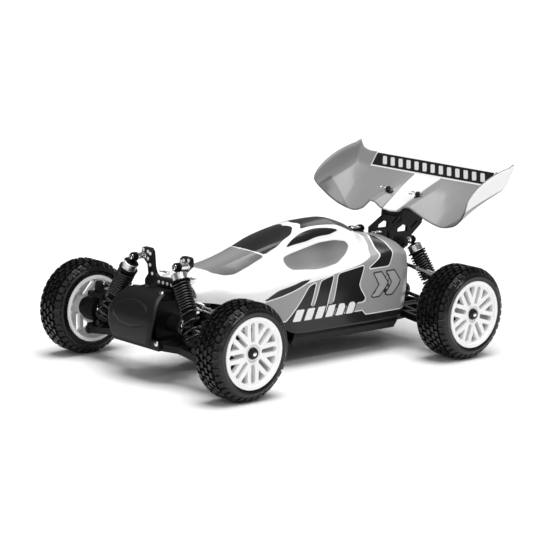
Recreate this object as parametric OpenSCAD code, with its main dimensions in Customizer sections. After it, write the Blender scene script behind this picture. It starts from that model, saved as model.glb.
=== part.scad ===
// Four-wheel-drive radio-controlled off-road buggy, one-tenth scale.
// Millimetres. +X is forward, +Y is left, +Z is up. The tyres stand on Z = 0.
// Sub-parts are drawn about the middle of the wheelbase, with heights taken from the axle line.

/* [Layout] */
// Distance between the front and rear axles
wheelbase = 275; // [265:1:285]
// Outer radius of the tyres, which is also the axle height
tyre_r = 43.5; // [42:0.5:45]
// Sideways reach of a suspension arm, from inner pin to outer pin
arm_span = 60; // [57:1:63]
// Drop of a suspension arm over that reach, at rest
arm_drop = 7; // [6:0.5:8]

/* [Wheels] */
// Width of the front tyres
front_tyre_w = 32.5; // [30:0.5:34]
// Width of the rear tyres
rear_tyre_w = 39; // [37:0.5:41]
// Radius of the rim at its outer lip
rim_lip_r = 31.35; // [30.5:0.25:32]
// Number of twin spokes in a rim
spokes = 8; // [6:1:9]
// Rows of tread blocks across a front tyre
front_tread_rows = 6; // [4:1:7]
// Rows of tread blocks across a rear tyre
rear_tread_rows = 7; // [5:1:9]
// Tread blocks in each row round a tyre
tread_blocks = 36; // [24:4:40]
// Depth of the tread
tread_depth = 2.2; // [1.5:0.1:2.5]

/* [Shocks] */
// Thickness of the spring wire
spring_wire = 1.8; // [1.6:0.1:1.9]
// Outer diameter of the springs
spring_od = 16.8; // [16.6:0.2:17.6]
// Close curls at the top of each spring
close_curls = 10; // [8:1:10]
// Open curls at the bottom of each spring
open_curls = 4; // [3:1:4]

/* [Wing] */
// Full width of the wing over its end plates
wing_w = 208; // [190:2:220]
// Thickness of the wing moulding
wing_t = 1.6; // [1.2:0.1:2]

/* [Fits] */
// Radius of the suspension pins and pivot bolts
pin_r = 1.5; // [1.3:0.1:1.6]
// Running clearance around a pin or shaft
run_gap = 0.06; // [0.04:0.01:0.1]
// Clearance between pieces that pass one another
side_gap = 0.5; // [0.4:0.05:0.6]

/* [Hidden] */
$fn = 48;
xf = wheelbase / 2;
xr = -wheelbase / 2;
// Tread: the shoulder outside the first row, the groove between rows and the slot between blocks
tread_inset = 1.6;
tread_gap = 1.6;
tread_slot = 2;
// The body and wing reach further back than the bumper reaches forward
origin_x = 12;

// Suspension points, as [y, height above the axle line] of the left side
hinge_plate_far = 26.5;
arm_in = [26, -16.5 + arm_drop];
arm_out = [arm_in[0] + arm_span, -16.5];
front_link_in = [24, 24 + arm_drop];
front_link_out = [front_link_in[0] + arm_span, 24];
rear_link_in = [18, 29 + arm_drop];
rear_link_out = [rear_link_in[0] + arm_span, 29];
link_w = 5;
front_joint_in = [30, arm_drop];
front_joint_out = [front_joint_in[0] + arm_span, 0];
rear_joint_in = [28, arm_drop];
rear_joint_out = [rear_joint_in[0] + arm_span, 0];
arm_tilt = atan2(-arm_drop, arm_span);
arm_len = norm([arm_span, arm_drop]);
kingpin_y = front_joint_out[0];
front_lip_y = kingpin_y + 36.4;
rear_lip_y = rear_joint_out[0] + 35.4;

// Shock pivots as [x from the axle, y, height], x away from the middle of the car
// A foot stands some way in from the outer pin of its arm, and some way above the arm's middle
function on_arm(y) = arm_in[1] - arm_drop * (y - arm_in[0]) / arm_span;
function shock_foot(x, inward, rise) = [x, arm_out[0] - inward, on_arm(arm_out[0] - inward) + rise];
front_top = [6.8, 30, 59.3];
front_foot = shock_foot(12.5, 18.8, 7.8);
rear_top = [2.5, 35, 57];
rear_foot = shock_foot(17.5, 22, 12.4);
front_tower_x = -4.8;
rear_tower_x = -6.5;
tower_t = 4;
eye_w = 4;
// A leaning shock slides along its foot bolt: this share of its lean
slide_share = 0.24;
eye_r = 4;
cup_r = 7.9;
cup_mouth = 3.5;
cup_depth = 8;

// Heights of the chassis floor and of the shafts
floor_top = -19.5;
// The chassis rises towards its nose, from this far behind the front axle to its front end
kick_from = 28;
kick_to = 22;
kick_rise = 12;
floor_t = 3;
shaft_h = arm_drop;
steer_arm = 18;
drag_h = 12.5 + arm_drop;
crank_len = 20;
crank_y = 14;
servo_shaft_r = 2.9;

SIDES = ["left", "right"];
FIXED = ["chassis_tub", "front_bumper", "gear_cases", "front_shock_tower", "rear_shock_tower",
    "body_shell", "wing_mount", "wing", "motor", "electronics",
    "front_diff", "rear_diff", "centre_shaft", "motor_pinion", "steering_crank", "drag_link"];
FRONT = ["front_arm", "front_c_hub", "front_knuckle", "front_axle", "front_rim", "front_tyre",
    "front_link", "front_shock_body", "front_spring", "front_shock_shaft", "front_driveshaft", "tie_rod"];
REAR = ["rear_arm", "rear_hub", "rear_axle", "rear_rim", "rear_tyre", "rear_link",
    "rear_shock_body", "rear_spring", "rear_shock_shaft", "rear_driveshaft"];

// Moves a sub-part from the axle line to its place above the floor
module placed() {
    translate([origin_x, 0, tyre_r]) children();
}

// Copies a left-hand sub-part to the side that is asked for
module sided(side) {
    if (side == "left") children();
    if (side == "right") mirror([0, 1, 0]) children();
}

// Front sub-parts face forward from the front axle, rear ones backward from the rear axle
module at_front() {
    translate([xf, 0, 0]) children();
}

module at_rear() {
    translate([xr, 0, 0]) mirror([1, 0, 0]) children();
}

// A round bar along X from x0 to x1 at [y, height]
module bar_x(p, x0, x1, r) {
    translate([x0, p[0], p[1]]) rotate([0, 90, 0]) cylinder(h = x1 - x0, r = r);
}

// A round bar along Y from y0 to y1 at height h and distance x
module bar_y(x, h, y0, y1, r) {
    translate([x, y0, h]) rotate([-90, 0, 0]) cylinder(h = y1 - y0, r = r);
}

// A plate of thickness x1 - x0 drawn as an outline of [y, height] points
module plate_x(points, x0, x1) {
    translate([x0, 0, 0]) rotate([90, 0, 90]) linear_extrude(x1 - x0) polygon(points);
}

// A plate of thickness y1 - y0 drawn as an outline of [x, height] points
module plate_y(points, y0, y1) {
    translate([0, y1, 0]) rotate([90, 0, 0]) linear_extrude(y1 - y0) polygon(points);
}

// A block between two opposite corners
module block(a, b) {
    translate(a) cube(b - a);
}

// An outline mirrored to the other side of its first coordinate
function both(points) = concat(points, [for (i = [len(points) - 1:-1:0]) [-points[i][0], points[i][1]]]);

// Chassis: a floor with turned-up sides between the wheels, and a narrow plate under each end
module chassis_tub() {
    tub_half = 46;
    end_half = 22;
    tub_x0 = xr + 27.5;
    tub_x1 = xf - 115.5;
    low = floor_top - floor_t;
    section = both([[tub_half, low], [50.3, low + 7], [50.3, low + 10.6], [49.3, low + 10.6],
        [49.3, low + 15], [47.8, low + 15], [47.8, low + 7.7], [44.5, floor_top]]);
    nose_half = 20.5;
    front_end = [[tub_x1, tub_half - 1], [xf - 42.5, 27], [xf - kick_from, nose_half]];
    rear_end = [[tub_x0, tub_half - 1], [xr + 12.5, 27], [xr - 22, end_half]];
    color("dimgray") {
        difference() {
            union() {
                plate_x(section, tub_x0, tub_x1);
                for (end = [front_end, rear_end])
                    translate([0, 0, low])
                        linear_extrude(floor_t)
                            polygon(concat(end, [for (i = [len(end) - 1:-1:0]) [end[i][0], -end[i][1]]]));
                at_front()
                    plate_y([[-kick_from, low], [kick_to, low + kick_rise], [kick_to, floor_top + kick_rise],
                        [-kick_from, floor_top]], -nose_half, nose_half);
            }
            for (y = [-14, 14])
                for (x = [xf - 75, xr + 6])
                    translate([x, y, low - 1]) cylinder(h = floor_t + 2, r = 1.6);
        }
    }
}

// Front bumper: a bowed shield on a foot that is held by the front hinge plate
module front_bumper() {
    skin = 3;
    foot_x = hinge_plate_far + 0.1;
    bow = [[15.5, 35.5], [25.5, 28.5], [31.5, 19.5], [33.8, 12], [34.5, 4], [33.8, -3], [32.8, -7]];
    back = [for (p = bow) [p[0] - skin, p[1] - skin * 0.35]];
    outline = both([[23, -12], [25.5, -6], [29.5, 8], [30.5, 16], [28, 25], [23, 36]]);
    color("black") at_front() {
        intersection() {
            plate_y(concat(bow, [for (i = [len(back) - 1:-1:0]) back[i]]), -40, 40);
            plate_x(outline, 0, 60);
        }
        block([foot_x, -16, -7], [32, 16, -3]);
    }
}

// One gear case about its axle, with the plates that hold the inner ends of the hinge pins
module gear_case(top_block, rise) {
    half = 17;
    x0 = -13;
    x1 = 18;
    top = 26.5;
    wall = 3;
    plate_near = 23;
    plate_far = hinge_plate_far;
    plate_half = arm_in[0] + 5;
    pin_h = arm_in[1];
    slope = rise / (kick_from + kick_to);
    foot0 = floor_top + slope * (x0 + kick_from);
    foot1 = floor_top + slope * (x1 + kick_from);
    foot2 = max(pin_h - 5, floor_top + slope * (plate_near + kick_from));
    difference() {
        union() {
            plate_y([[x0, foot0], [x1, foot1], [x1, top], [x0, top]], -half, half);
            if (top_block) block([-3.5, -13, top], [12.5, 13, top + 8]);
            block([x1, -14, foot2], [plate_near, 14, pin_h + 8]);
            block([-plate_near, -14, pin_h - 5], [x0, 14, pin_h + 2]);
            for (x = [-plate_far, plate_near])
                block([x, -plate_half, pin_h - 3.5], [x + plate_far - plate_near, plate_half, pin_h + 5]);
            translate([x0 - 7, 0, shaft_h]) rotate([0, 90, 0]) cylinder(h = 8, r = 6);
        }
        block([x0 + wall, -half + wall, shaft_h - 15], [x1 - wall, half - wall, shaft_h + 15]);
        bar_y(0, shaft_h, -half - 1, half + 1, 5 + run_gap);
        bar_x([0, shaft_h], x0 - 10, x0 + wall + 1, 2.5 + run_gap);
        for (y = [-arm_in[0], arm_in[0]])
            bar_x([y, pin_h], -40, 40, pin_r);
    }
    for (y = [-arm_in[0], arm_in[0]])
        bar_x([y, pin_h], -plate_far, plate_far, pin_r);
}

module gear_cases() {
    color("black") {
        at_front() gear_case(true, kick_rise);
        at_rear() gear_case(false, 0);
    }
}

// A stud with a spacer and a head, along X, that carries the eye of a shock or link
module pivot_stud(p, x0, eye_x0, eye_x1, spacer_r) {
    if (eye_x0 > x0) bar_x(p, x0, eye_x0, spacer_r);
    bar_x(p, x0, eye_x1 + 2, pin_r);
    bar_x(p, eye_x1 + side_gap, eye_x1 + 2, pin_r + 1.2);
}

// Rows of adjusting holes through a tower
module tower_holes(points) {
    for (p = points)
        for (y = [-p[0], p[0]])
            bar_x([y, p[1]], -60, 60, 1.3);
}

// Front tower: two horns with a wide notch between them, and two posts under the nose of the body
module front_shock_tower() {
    x0 = front_tower_x - tower_t;
    x1 = front_tower_x;
    base = 26.5;
    top = 66.8;
    post = [-18, 20];
    outline = both([[13, base], [26, base + 2], [28.5, 34], [28.5, 38], [24, 44], [25.5, 52], [33.4, 58.5],
        [34, 62], [33.4, 65.6], [31.5, top], [22.5, top], [19.5, 64.2], [17.5, 50], [15, 45], [11.5, 43]]);
    color("black") at_front() {
        difference() {
            plate_x(outline, x0, x1);
            tower_holes([[31.3, 64.3], [24.8, 63.4], [21.6, 62], [24.7, 57], [21.5, 51.8], [18.4, 44.5],
                [8.7, 38.6], [2.9, 38.6]]);
        }
        for (s = [-1, 1]) {
            pivot_stud([s * front_top[1], front_top[2]], x1, front_top[0] - eye_w / 2 - side_gap,
                front_top[0] + eye_w / 2, 2.6);
            pivot_stud([s * front_link_in[0], front_link_in[1]],
                x1, x1 + side_gap, x1 + side_gap + link_w, 2.6);
            block([post[0] - 3, s * post[1] - 3, 33], [x0, s * post[1] + 3, 36]);
            translate([post[0], s * post[1], 33]) cylinder(h = 3.9, r = 3);
        }
    }
}

// Rear tower: a broad plate with rounded shoulders, and two posts under the tail of the body
module rear_shock_tower() {
    x0 = rear_tower_x - tower_t;
    x1 = rear_tower_x;
    base = 26.5;
    top = 60.5;
    post = [-24.5, 13];
    outline = both([[14, base], [27, base + 2], [29, 34], [28.5, 40], [31, 46], [40, 53], [40, 58], [37, top],
        [26, top], [22, 54], [13, 52]]);
    color("black") at_rear() {
        difference() {
            plate_x(outline, x0, x1);
            tower_holes([[31, 57.5], [27, 55], [38, 54.6], [24, 47], [14, 44], [8, 46]]);
        }
        for (s = [-1, 1]) {
            pivot_stud([s * rear_top[1], rear_top[2]], x1, rear_top[0] - eye_w / 2 - side_gap,
                rear_top[0] + eye_w / 2, 2.6);
            pivot_stud([s * rear_link_in[0], rear_link_in[1]],
                x1, x1 + side_gap, x1 + side_gap + link_w, 2.6);
            block([post[0] - 3, s * post[1] - 3, 46], [x0, s * post[1] + 3, 49]);
            translate([post[0], s * post[1], 46]) cylinder(h = 10.5, r = 3);
        }
    }
}

// A thin sheet between two grids of points that have the same rows and columns
module sheet(upper, lower) {
    rows = len(upper);
    cols = len(upper[0]);
    below = rows * cols;
    points = concat([for (row = upper) for (p = row) p], [for (row = lower) for (p = row) p]);
    function at(i, j) = i * cols + j;
    function quad(a, b, c, d) = [[a, b, c], [a, c, d]];
    skin = [for (i = [0:rows - 2]) for (j = [0:cols - 2])
        for (f = quad(at(i, j), at(i, j + 1), at(i + 1, j + 1), at(i + 1, j))) f];
    lining = [for (f = skin) [f[0] + below, f[2] + below, f[1] + below]];
    ends = [for (j = [0:cols - 2]) for (f = concat(
        quad(at(0, j + 1), at(0, j), below + at(0, j), below + at(0, j + 1)),
        quad(at(rows - 1, j), at(rows - 1, j + 1), below + at(rows - 1, j + 1), below + at(rows - 1, j)))) f];
    rims = [for (i = [0:rows - 2]) for (f = concat(
        quad(at(i, 0), at(i + 1, 0), below + at(i + 1, 0), below + at(i, 0)),
        quad(at(i + 1, cols - 1), at(i, cols - 1), below + at(i, cols - 1), below + at(i + 1, cols - 1)))) f];
    polyhedron(points, concat(skin, lining, ends, rims), convexity = 6);
}

// Body stations from nose to tail: place as a share of the wheelbase, then [half-width, height] of the
// lower edge, the shoulder, the foot of the cockpit and the edge of the roof, and last the height on
// the centre line
BODY = [
    [0.4436, [29, 26], [29, 33], [23, 38.5], [12, 40.3], 41],
    [0.3636, [33, 22.5], [34, 34.5], [26, 42.5], [14, 46.5], 47.5],
    [0.2909, [36, 18.5], [39, 30.5], [26, 42.5], [14, 50], 51.5],
    [0.2182, [40, 8.5], [43, 30.5], [27, 43.5], [15, 54.5], 56.5],
    [0.1527, [46, -1.5], [46, 33.5], [29, 44.5], [17, 59.5], 62],
    [0.0727, [51.5, -11], [49, 38.5], [33, 44.5], [21, 65.5], 69.5],
    [0, [52, -11.5], [49, 39.5], [36, 43.5], [23, 69.5], 75.2],
    [-0.0909, [52, -11.5], [48, 40.5], [37, 43.5], [24, 73.5], 79.5],
    [-0.1818, [52, -11.5], [47, 43.5], [36, 46.5], [23, 74], 80.5],
    [-0.2727, [52, -11.5], [46, 46.5], [33, 49.5], [20, 67.5], 74.2],
    [-0.3455, [51.6, -11.3], [45, 48.5], [28, 53.5], [14, 59.5], 62.5],
    [-0.4, [51.4, -11], [44, 49.5], [30, 55.5], [14, 59], 59.5],
    [-0.4582, [45, -8], [42, 46.5], [30, 53.5], [14, 56.5], 57.5]];
body_tail_rake = 5;
body_t = 1.2;

// Half of a body station, from the lower edge up to the centre line, drawn in by a thickness
function body_half(s, t) = [
    [s[1][0] - t, s[1][1]],
    [max(s[1][0], s[2][0]) + 0.5 - t, (s[1][1] + s[2][1]) / 2],
    [s[2][0] - t, s[2][1] - t / 2],
    [s[3][0] - t * 0.6, s[3][1] - t],
    [s[4][0] - t * 0.8, s[4][1] - t * 0.8],
    [0, s[5] - t]];

// The tail's edge leans, so that its lower corner stands further forward
function body_x(s, i) =
    s[0] * wheelbase + (s == BODY[len(BODY) - 1] ? body_tail_rake * max(0, 1 - i / 2) : 0);

function body_row(s, t) = let (half = body_half(s, t)) concat(
    [for (i = [0:len(half) - 1]) [body_x(s, i), half[i][0], half[i][1]]],
    [for (i = [len(half) - 2:-1:0]) [body_x(s, i), -half[i][0], half[i][1]]]);

// Body shell: nose, cockpit and tail as one thin moulding, open below and behind
module body_shell() {
    color("whitesmoke")
        sheet([for (s = BODY) body_row(s, 0)], [for (s = BODY) body_row(s, body_t)]);
}

// Half of the wing from the middle outward: y, then [x from the rear axle, height] of the leading edge,
// of the fold at the foot of the rear band and of the trailing edge, and the arch of the line between them
WING = [
    [0, [-7.5, 79.5], [-58.5, 108.5], [-67.5, 122.5], 0],
    [12, [-7, 81], [-58.5, 108.5], [-67.5, 122.5], 0],
    [20, [-5.5, 86], [-58.5, 108.5], [-67.5, 122.5], 0],
    [26, [-5.5, 86.5], [-58.5, 108.5], [-67.5, 122.5], 0],
    [33, [-8.5, 82.5], [-58.5, 108.5], [-67.5, 122.5], 0],
    [45, [-13, 75.5], [-58.5, 108.5], [-67.5, 122.5], 0],
    [60, [-15.5, 71.5], [-58.5, 108.5], [-67.5, 122.5], 0],
    [75, [-14, 74.5], [-58.5, 108.5], [-67.5, 122.5], 0],
    [88, [-10.5, 81.5], [-58.5, 108.5], [-67.5, 122.5], 0],
    [97, [-6, 90], [-58.7, 109.5], [-67.4, 124.5], 0],
    [100.4, [-4, 93.5], [-59.2, 114], [-67.1, 127.5], 7],
    [102.4, [-2.5, 97], [-60, 130], [-66.5, 132.9], 22]];
wing_chord = [0, 0.05, 0.15, 0.35, 0.65, 1, 2];
wing_stretch = wing_w / 2 / (WING[len(WING) - 1][0] + wing_t);

// A point of the wing at chord place f, where 1 is the fold and 2 the trailing edge
function wing_at(w, f) = f <= 1 ? w[1] + (w[2] - w[1]) * f + [0, w[4] * sqrt(f) * (1 - f)]
    : w[2] + (w[3] - w[2]) * (f - 1);

// The moulding's thickness lies along its face: below the main plane, outside the end plates
function wing_skin(y) = y < 98 ? [-0.6, 0, -0.8] : y < 101 ? [-0.3, 0.8, -0.4] : [0, 1, 0];

function wing_point(w, f, side, t) = let (p = wing_at(w, f), d = wing_skin(w[0]) * t)
    [p[0] + d[0] + xr,
     side * (w[0] * wing_stretch + d[1]),
     p[1] + d[2]];

function wing_row(f, t) = concat(
    [for (i = [len(WING) - 1:-1:0]) wing_point(WING[i], f, 1, t)],
    [for (i = [1:len(WING) - 1]) wing_point(WING[i], f, -1, t)]);

module wing() {
    color("gray")
        sheet([for (f = wing_chord) wing_row(f, 0)], [for (f = wing_chord) wing_row(f, wing_t)]);
}

// Wing mount: two pierced side plates behind the rear tower, tied by cross bars, with a post under
// each wing screw
module wing_mount() {
    inner = 11.5;
    outer = 14.5;
    front = rear_tower_x + 0.1;
    frame = [[front, 44], [front, 62.4], [10.5, 72.1], [10.9, 81], [34, 93.3], [40, 76], [37.3, 66.5],
        [26.1, 57.8], [16, 50], [12, 44]];
    window = [[4.2, 60.6], [5, 64], [12.3, 67.7], [17.9, 65.2], [17.5, 60.5]];
    slot = [[22.4, 64.4], [23.5, 62.9], [31.4, 68.7], [30.3, 70.2]];
    screw = [25.8, 20];
    color("black") at_rear() {
        for (s = [0, 1])
            mirror([0, s, 0]) {
                difference() {
                    plate_y(frame, inner, outer);
                    plate_y(window, inner - 1, outer + 1);
                    plate_y(slot, inner - 1, outer + 1);
                }
                bar_y(screw[0], 82, outer - 1, screw[1] + 3, 3);
                translate([screw[0], screw[1], 82]) cylinder(h = 8.7, r = 3);
            }
        for (bar = [[8, 50], [14.5, 76]])
            bar_y(bar[0], bar[1], -inner - 1, inner + 1, 3.2);
    }
}

// Motor lying along the car beside the centre shaft, with its mounting plate
motor_r = 14.8;
motor_y = 26.5;
spur_r = 22;
pinion_r = norm([motor_y, shaft_h - (floor_top + motor_r + 0.2)]) - spur_r;
motor_h = floor_top + motor_r + 0.2;
spur_x = -70;
gear_t = 5;

module motor() {
    plate_x0 = spur_x + gear_t + 1;
    color("silver") {
        difference() {
            union() {
                bar_x([motor_y, motor_h], plate_x0 + 3, plate_x0 + 53, motor_r);
                bar_x([motor_y, motor_h], plate_x0 + 53, plate_x0 + 58, 5);
            }
            bar_x([motor_y, motor_h], plate_x0 - 1, plate_x0 + 20, 1.6 + run_gap);
        }
        difference() {
            block([plate_x0, 10, floor_top], [plate_x0 + 3, 44, motor_h + motor_r]);
            bar_x([motor_y, motor_h], plate_x0 - 1, plate_x0 + 4, 5);
        }
    }
}

// A toothed wheel along X, its teeth a ring of small flats
module gear_x(p, x0, r, teeth, depth) {
    translate([x0, p[0], p[1]])
        rotate([90, 0, 90])
            linear_extrude(gear_t)
                polygon([for (i = [0:teeth * 4 - 1])
                    let (a = 360 * i / (teeth * 4), rr = (i % 4 < 2) ? r : r - depth)
                    [rr * cos(a), rr * sin(a)]]);
}

// Pinion on the motor's shaft
module motor_pinion() {
    color("goldenrod") {
        gear_x([motor_y, motor_h], spur_x, pinion_r - 0.4, 12, 1);
        bar_x([motor_y, motor_h], spur_x - 0.5, spur_x + gear_t + 19, 1.6);
    }
}

// Centre shaft with the spur gear and a bevel pinion at each end
module centre_shaft() {
    reach = xf - 9.5;
    color("silver") {
        gear_x([0, shaft_h], spur_x, spur_r - 0.2, 44, 1);
        bar_x([0, shaft_h], -reach, reach, 2.5);
    }
}

// Differential: a case with a ring gear, and a slotted drive cup on each side
module diff(joint, ring_side) {
    half = 17;
    bar_y(0, shaft_h, -10, 10, 6.5);
    bar_y(0, shaft_h, ring_side * 7 - 2, ring_side * 7 + 2, 9);
    for (s = [0, 1])
        mirror([0, s, 0]) {
            bar_y(0, shaft_h, 9, half + 1, 5);
            translate([0, joint[0], shaft_h]) drive_cup(joint[0] - half - side_gap);
        }
}

// Cup of a drive joint about its centre: it opens along +Y and has a groove for each end of the cross pin
module drive_cup(back) {
    groove_half = 3.1;
    groove_r = cup_r - 0.8;
    difference() {
        bar_y(0, 0, -back, cup_mouth, cup_r);
        bar_y(0, 0, -cup_depth, cup_mouth + 1, cup_r - 2.5);
        block([-groove_half, -cup_depth, -groove_r], [groove_half, cup_mouth + 1, groove_r]);
    }
}

module front_diff() {
    color("silver") at_front() diff(front_joint_in, 1);
}

module rear_diff() {
    color("silver") at_rear() diff(rear_joint_in, 1);
}

// Steering servo, receiver and speed controller on the left of the floor, battery pack on the right
module electronics() {
    servo_x = xf - steer_arm - crank_len;
    color("black") {
        block([servo_x - 30, crank_y - 9, floor_top], [servo_x + 10, crank_y + 9, 6]);
        translate([servo_x, crank_y, 6]) cylinder(h = 8, r = servo_shaft_r);
        block([22, 8, floor_top], [52, 34, floor_top + 14]);
        block([2, 8, floor_top], [20, 40, floor_top + 20]);
        block([-62, -44, floor_top], [34, -8, floor_top + 25]);
    }
}

// Steering crank on the servo's shaft, with a pin that works in the drag link's slot
crank_pin_r = 1.4;
drag_low = drag_h - 2;

module steering_crank() {
    low = drag_low - 4;
    high = drag_low - 1;
    tip = [-steer_arm, crank_y];
    hub = [-steer_arm - crank_len, crank_y];
    color("black") at_front() {
        difference() {
            union() {
                translate([hub[0], hub[1], 7]) cylinder(h = high - 7, r = 5.5);
                translate([tip[0], tip[1], low]) cylinder(h = high - low, r = 4);
                block([hub[0], hub[1] - 3, low], [tip[0], tip[1] + 3, high]);
            }
            translate([hub[0], hub[1], 0]) cylinder(h = 14.5, r = servo_shaft_r + run_gap);
        }
        translate([tip[0], tip[1], high]) cylinder(h = 6, r = crank_pin_r);
    }
}

// Drag link: a bar across the car with a fork at each end for the tie rods
module drag_link() {
    x0 = -steer_arm - 3.5;
    x1 = -steer_arm + 3.5;
    fork = front_joint_in[0];
    slot_y = crank_pin_r + 0.4;
    slot_back = -steer_arm - 2.3;
    color("silver") at_front() {
        difference() {
            union() {
                block([x0, -fork + 5, drag_low], [x1, fork - 5, drag_low + 4]);
                block([x0 - 3, crank_y - 5, drag_low], [x1, crank_y + 5, drag_low + 4]);
                for (s = [-1, 1])
                    for (x = [x0 - 1.2, x1 - 1.8])
                        block([x, s * fork - 4 + (s > 0 ? -4 : 0), drag_h - 3],
                            [x + 3, s * fork + 4 + (s < 0 ? 4 : 0), drag_h + 3]);
            }
            block([slot_back, crank_y - slot_y, 0], [-steer_arm, crank_y + slot_y, drag_h + 9]);
            for (x = [slot_back, -steer_arm])
                translate([x, crank_y, 0]) cylinder(h = drag_h + 9, r = slot_y);
        }
        for (s = [-1, 1])
            bar_x([s * fork, drag_h], x0 + 0.5, x1 - 0.5, pin_r);
    }
}

// Tie rod: a turned rod with an eye across the fork and a long eye over the knuckle's stud
stud_r = 1.4;
eye_play = 0.8;

module tie_rod() {
    p_in = [front_joint_in[0], drag_h];
    p_out = [kingpin_y, 12.5];
    thick = 3;
    travel = 1.8;
    tilt = atan2(p_out[1] - p_in[1], p_out[0] - p_in[0]);
    reach = norm(p_out - p_in);
    color("silver") at_front()
        translate([-steer_arm, p_in[0], p_in[1]])
            rotate([tilt, 0, 0])
                difference() {
                    union() {
                        bar_x([0, 0], -1.4, 1.4, 3);
                        bar_y(0, 0, 2.5, reach - 3, 1.5);
                        bar_y(0, 0, reach * 0.35, reach * 0.65, 2.2);
                        for (x = [0, travel])
                            translate([x, reach, -thick / 2])
                                cylinder(h = thick, r = stud_r + eye_play + 1.4);
                    }
                    bar_x([0, 0], -3, 3, pin_r + run_gap);
                    block([0, reach - stud_r - eye_play, -5], [travel, reach + stud_r + eye_play, 5]);
                    for (x = [0, travel])
                        translate([x, reach, -5]) cylinder(h = 10, r = stud_r + eye_play);
                }
}

// Suspension arm about its inner pin: a pierced blade with a barrel inside and two lugs outside
arm_half = 22.5;
lug_in = 9;
lug_out = 14;
foot_half = 8.5;

module arm_blade() {
    thick = 6;
    web_end = arm_len - 12;
    outline = [[arm_half, 0], [arm_half, 6], [lug_out + 0.4, 17], [lug_out, arm_len],
        [lug_in, arm_len], [lug_in, web_end]];
    difference() {
        union() {
            translate([0, 0, -thick / 2]) linear_extrude(thick) polygon(both(outline));
            bar_x([0, 0], -arm_half, arm_half, 4);
            for (x = [-lug_out, lug_in])
                bar_x([arm_len, 0], x, x + lug_out - lug_in, 4);
        }
        translate([0, 0, -thick])
            linear_extrude(thick * 2)
                for (s = [0, 1])
                    mirror([s, 0, 0]) {
                        polygon([[2, 7], [15, 7], [10, 17], [2, 21]]);
                        polygon([[2, 25], [10, 21], [10.5, web_end - 10], [2, web_end - 5]]);
                    }
        bar_x([0, 0], -arm_half - 1, arm_half + 1, pin_r + run_gap);
    }
    bar_x([arm_len, 0], -lug_out - 1, lug_out + 1, pin_r);
}

// Upright lug that holds the foot of the shock, with its bolt
module shock_lug(foot, top) {
    foot_slide = slide_share * (foot[0] - top[0]);
    face = foot[0] - eye_w / 2 - foot_slide;
    base = on_arm(foot[1]);
    plate_x([[foot[1] - 7, base], [foot[1] + 4.4, base - 0.5], [foot[1] + 4, foot[2]],
        [foot[1] + 2, foot[2] + 2.6], [foot[1] - 2, foot[2] + 2.6], [foot[1] - 4, foot[2]]],
        face - 4, face);
    bar_x([foot[1], foot[2]], face - 1, foot[0] + eye_w / 2 + foot_slide + 1.6, pin_r);
    bar_x([foot[1], foot[2]], foot[0] + eye_w / 2 + foot_slide - 0.4,
        foot[0] + eye_w / 2 + foot_slide + 1.6, 2.7);
}

module placed_blade() {
    translate([0, arm_in[0], arm_in[1]]) rotate([arm_tilt, 0, 0]) arm_blade();
}

module front_arm() {
    color("black") at_front() {
        placed_blade();
        shock_lug(front_foot, front_top);
    }
}

module rear_arm() {
    color("black") at_rear() {
        placed_blade();
        shock_lug(rear_foot, rear_top);
    }
}

// Ear that holds the outer end of the upper link, beside its eye
module link_ear(p, x0, foot_h) {
    y = p[0];
    h = p[1];
    plate_x([[y - 5, foot_h], [y + 5, foot_h], [y + 3.5, h + 2], [y + 1.5, h + 4],
        [y - 1.5, h + 4], [y - 3.5, h + 2]], x0, x0 + 4);
    mirror([1, 0, 0]) pivot_stud(p, -x0, -x0, -x0 + side_gap + link_w, pin_r);
}

// Front hub carrier: a C that holds the knuckle between two kingpins
ring_r = 11.4;
void_r = cup_r + 0.8;
king_low = -12.4;
king_high = 13.2;

module front_c_hub() {
    k = kingpin_y;
    o = arm_out[0];
    c_shape = [[k - 8, -20.5], [k + 4.5, -20.5], [k + 4.5, king_low], [k - 7.8, king_low], [k - 13, -4],
        [k - 13, king_high], [k + 4.5, king_high], [k + 4.5, 17.5], [k - 17, 17.5], [k - 17, -5],
        [k - 11, -13.5], [k - 10, -18]];
    color("black") at_front() {
        difference() {
            union() {
                plate_x(c_shape, -foot_half, foot_half);
                bar_x(arm_out, -foot_half, foot_half, 4);
            }
            bar_x(arm_out, -20, 20, pin_r + run_gap);
            bar_y(0, 2, k - 20, k - 10, 6.6);
        }
        for (z = [[17.5 - 8.2, 19.5], [-22, -9.3]])
            translate([0, k, z[0]]) cylinder(h = z[1] - z[0], r = pin_r);
        translate([0, k, 17.5]) cylinder(h = 2, r = 3);
        link_ear(front_link_out, front_tower_x + link_w + 2 * side_gap, 17.5);
    }
}

// Steering knuckle: a ring about the drive joint, a bearing seat and a steering arm
module front_knuckle() {
    k = kingpin_y;
    arm_top = 9.4;
    color("black") at_front() {
        difference() {
            union() {
                bar_y(0, 0, k - 5, k + 11, ring_r);
                bar_y(0, 0, k + 11, k + 16, 9.5);
                for (z = [[king_low + 0.4, -8], [8, king_high - 0.4]])
                    translate([0, k, z[0]]) cylinder(h = z[1] - z[0], r = 4.5);
                translate([-steer_arm, k, arm_top - 3]) cylinder(h = 3, r = 3.4);
                block([-steer_arm, k - 3, arm_top - 3], [-6, k + 3, arm_top]);
            }
            bar_y(0, 0, k - 6, k + 11, void_r);
            bar_y(0, 0, k + 11.5, k + 17, 7);
            bar_y(0, 0, k + 10, k + 17, 5);
            translate([0, k, -20]) cylinder(h = 40, r = pin_r + run_gap);
        }
        translate([-steer_arm, k, arm_top - 1]) cylinder(h = 7.5, r = stud_r);
        difference() {
            bar_y(0, 0, k + 11.5, k + 15.5, 7);
            bar_y(0, 0, k + 11, k + 16, axle_r + run_gap);
        }
    }
}

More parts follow.
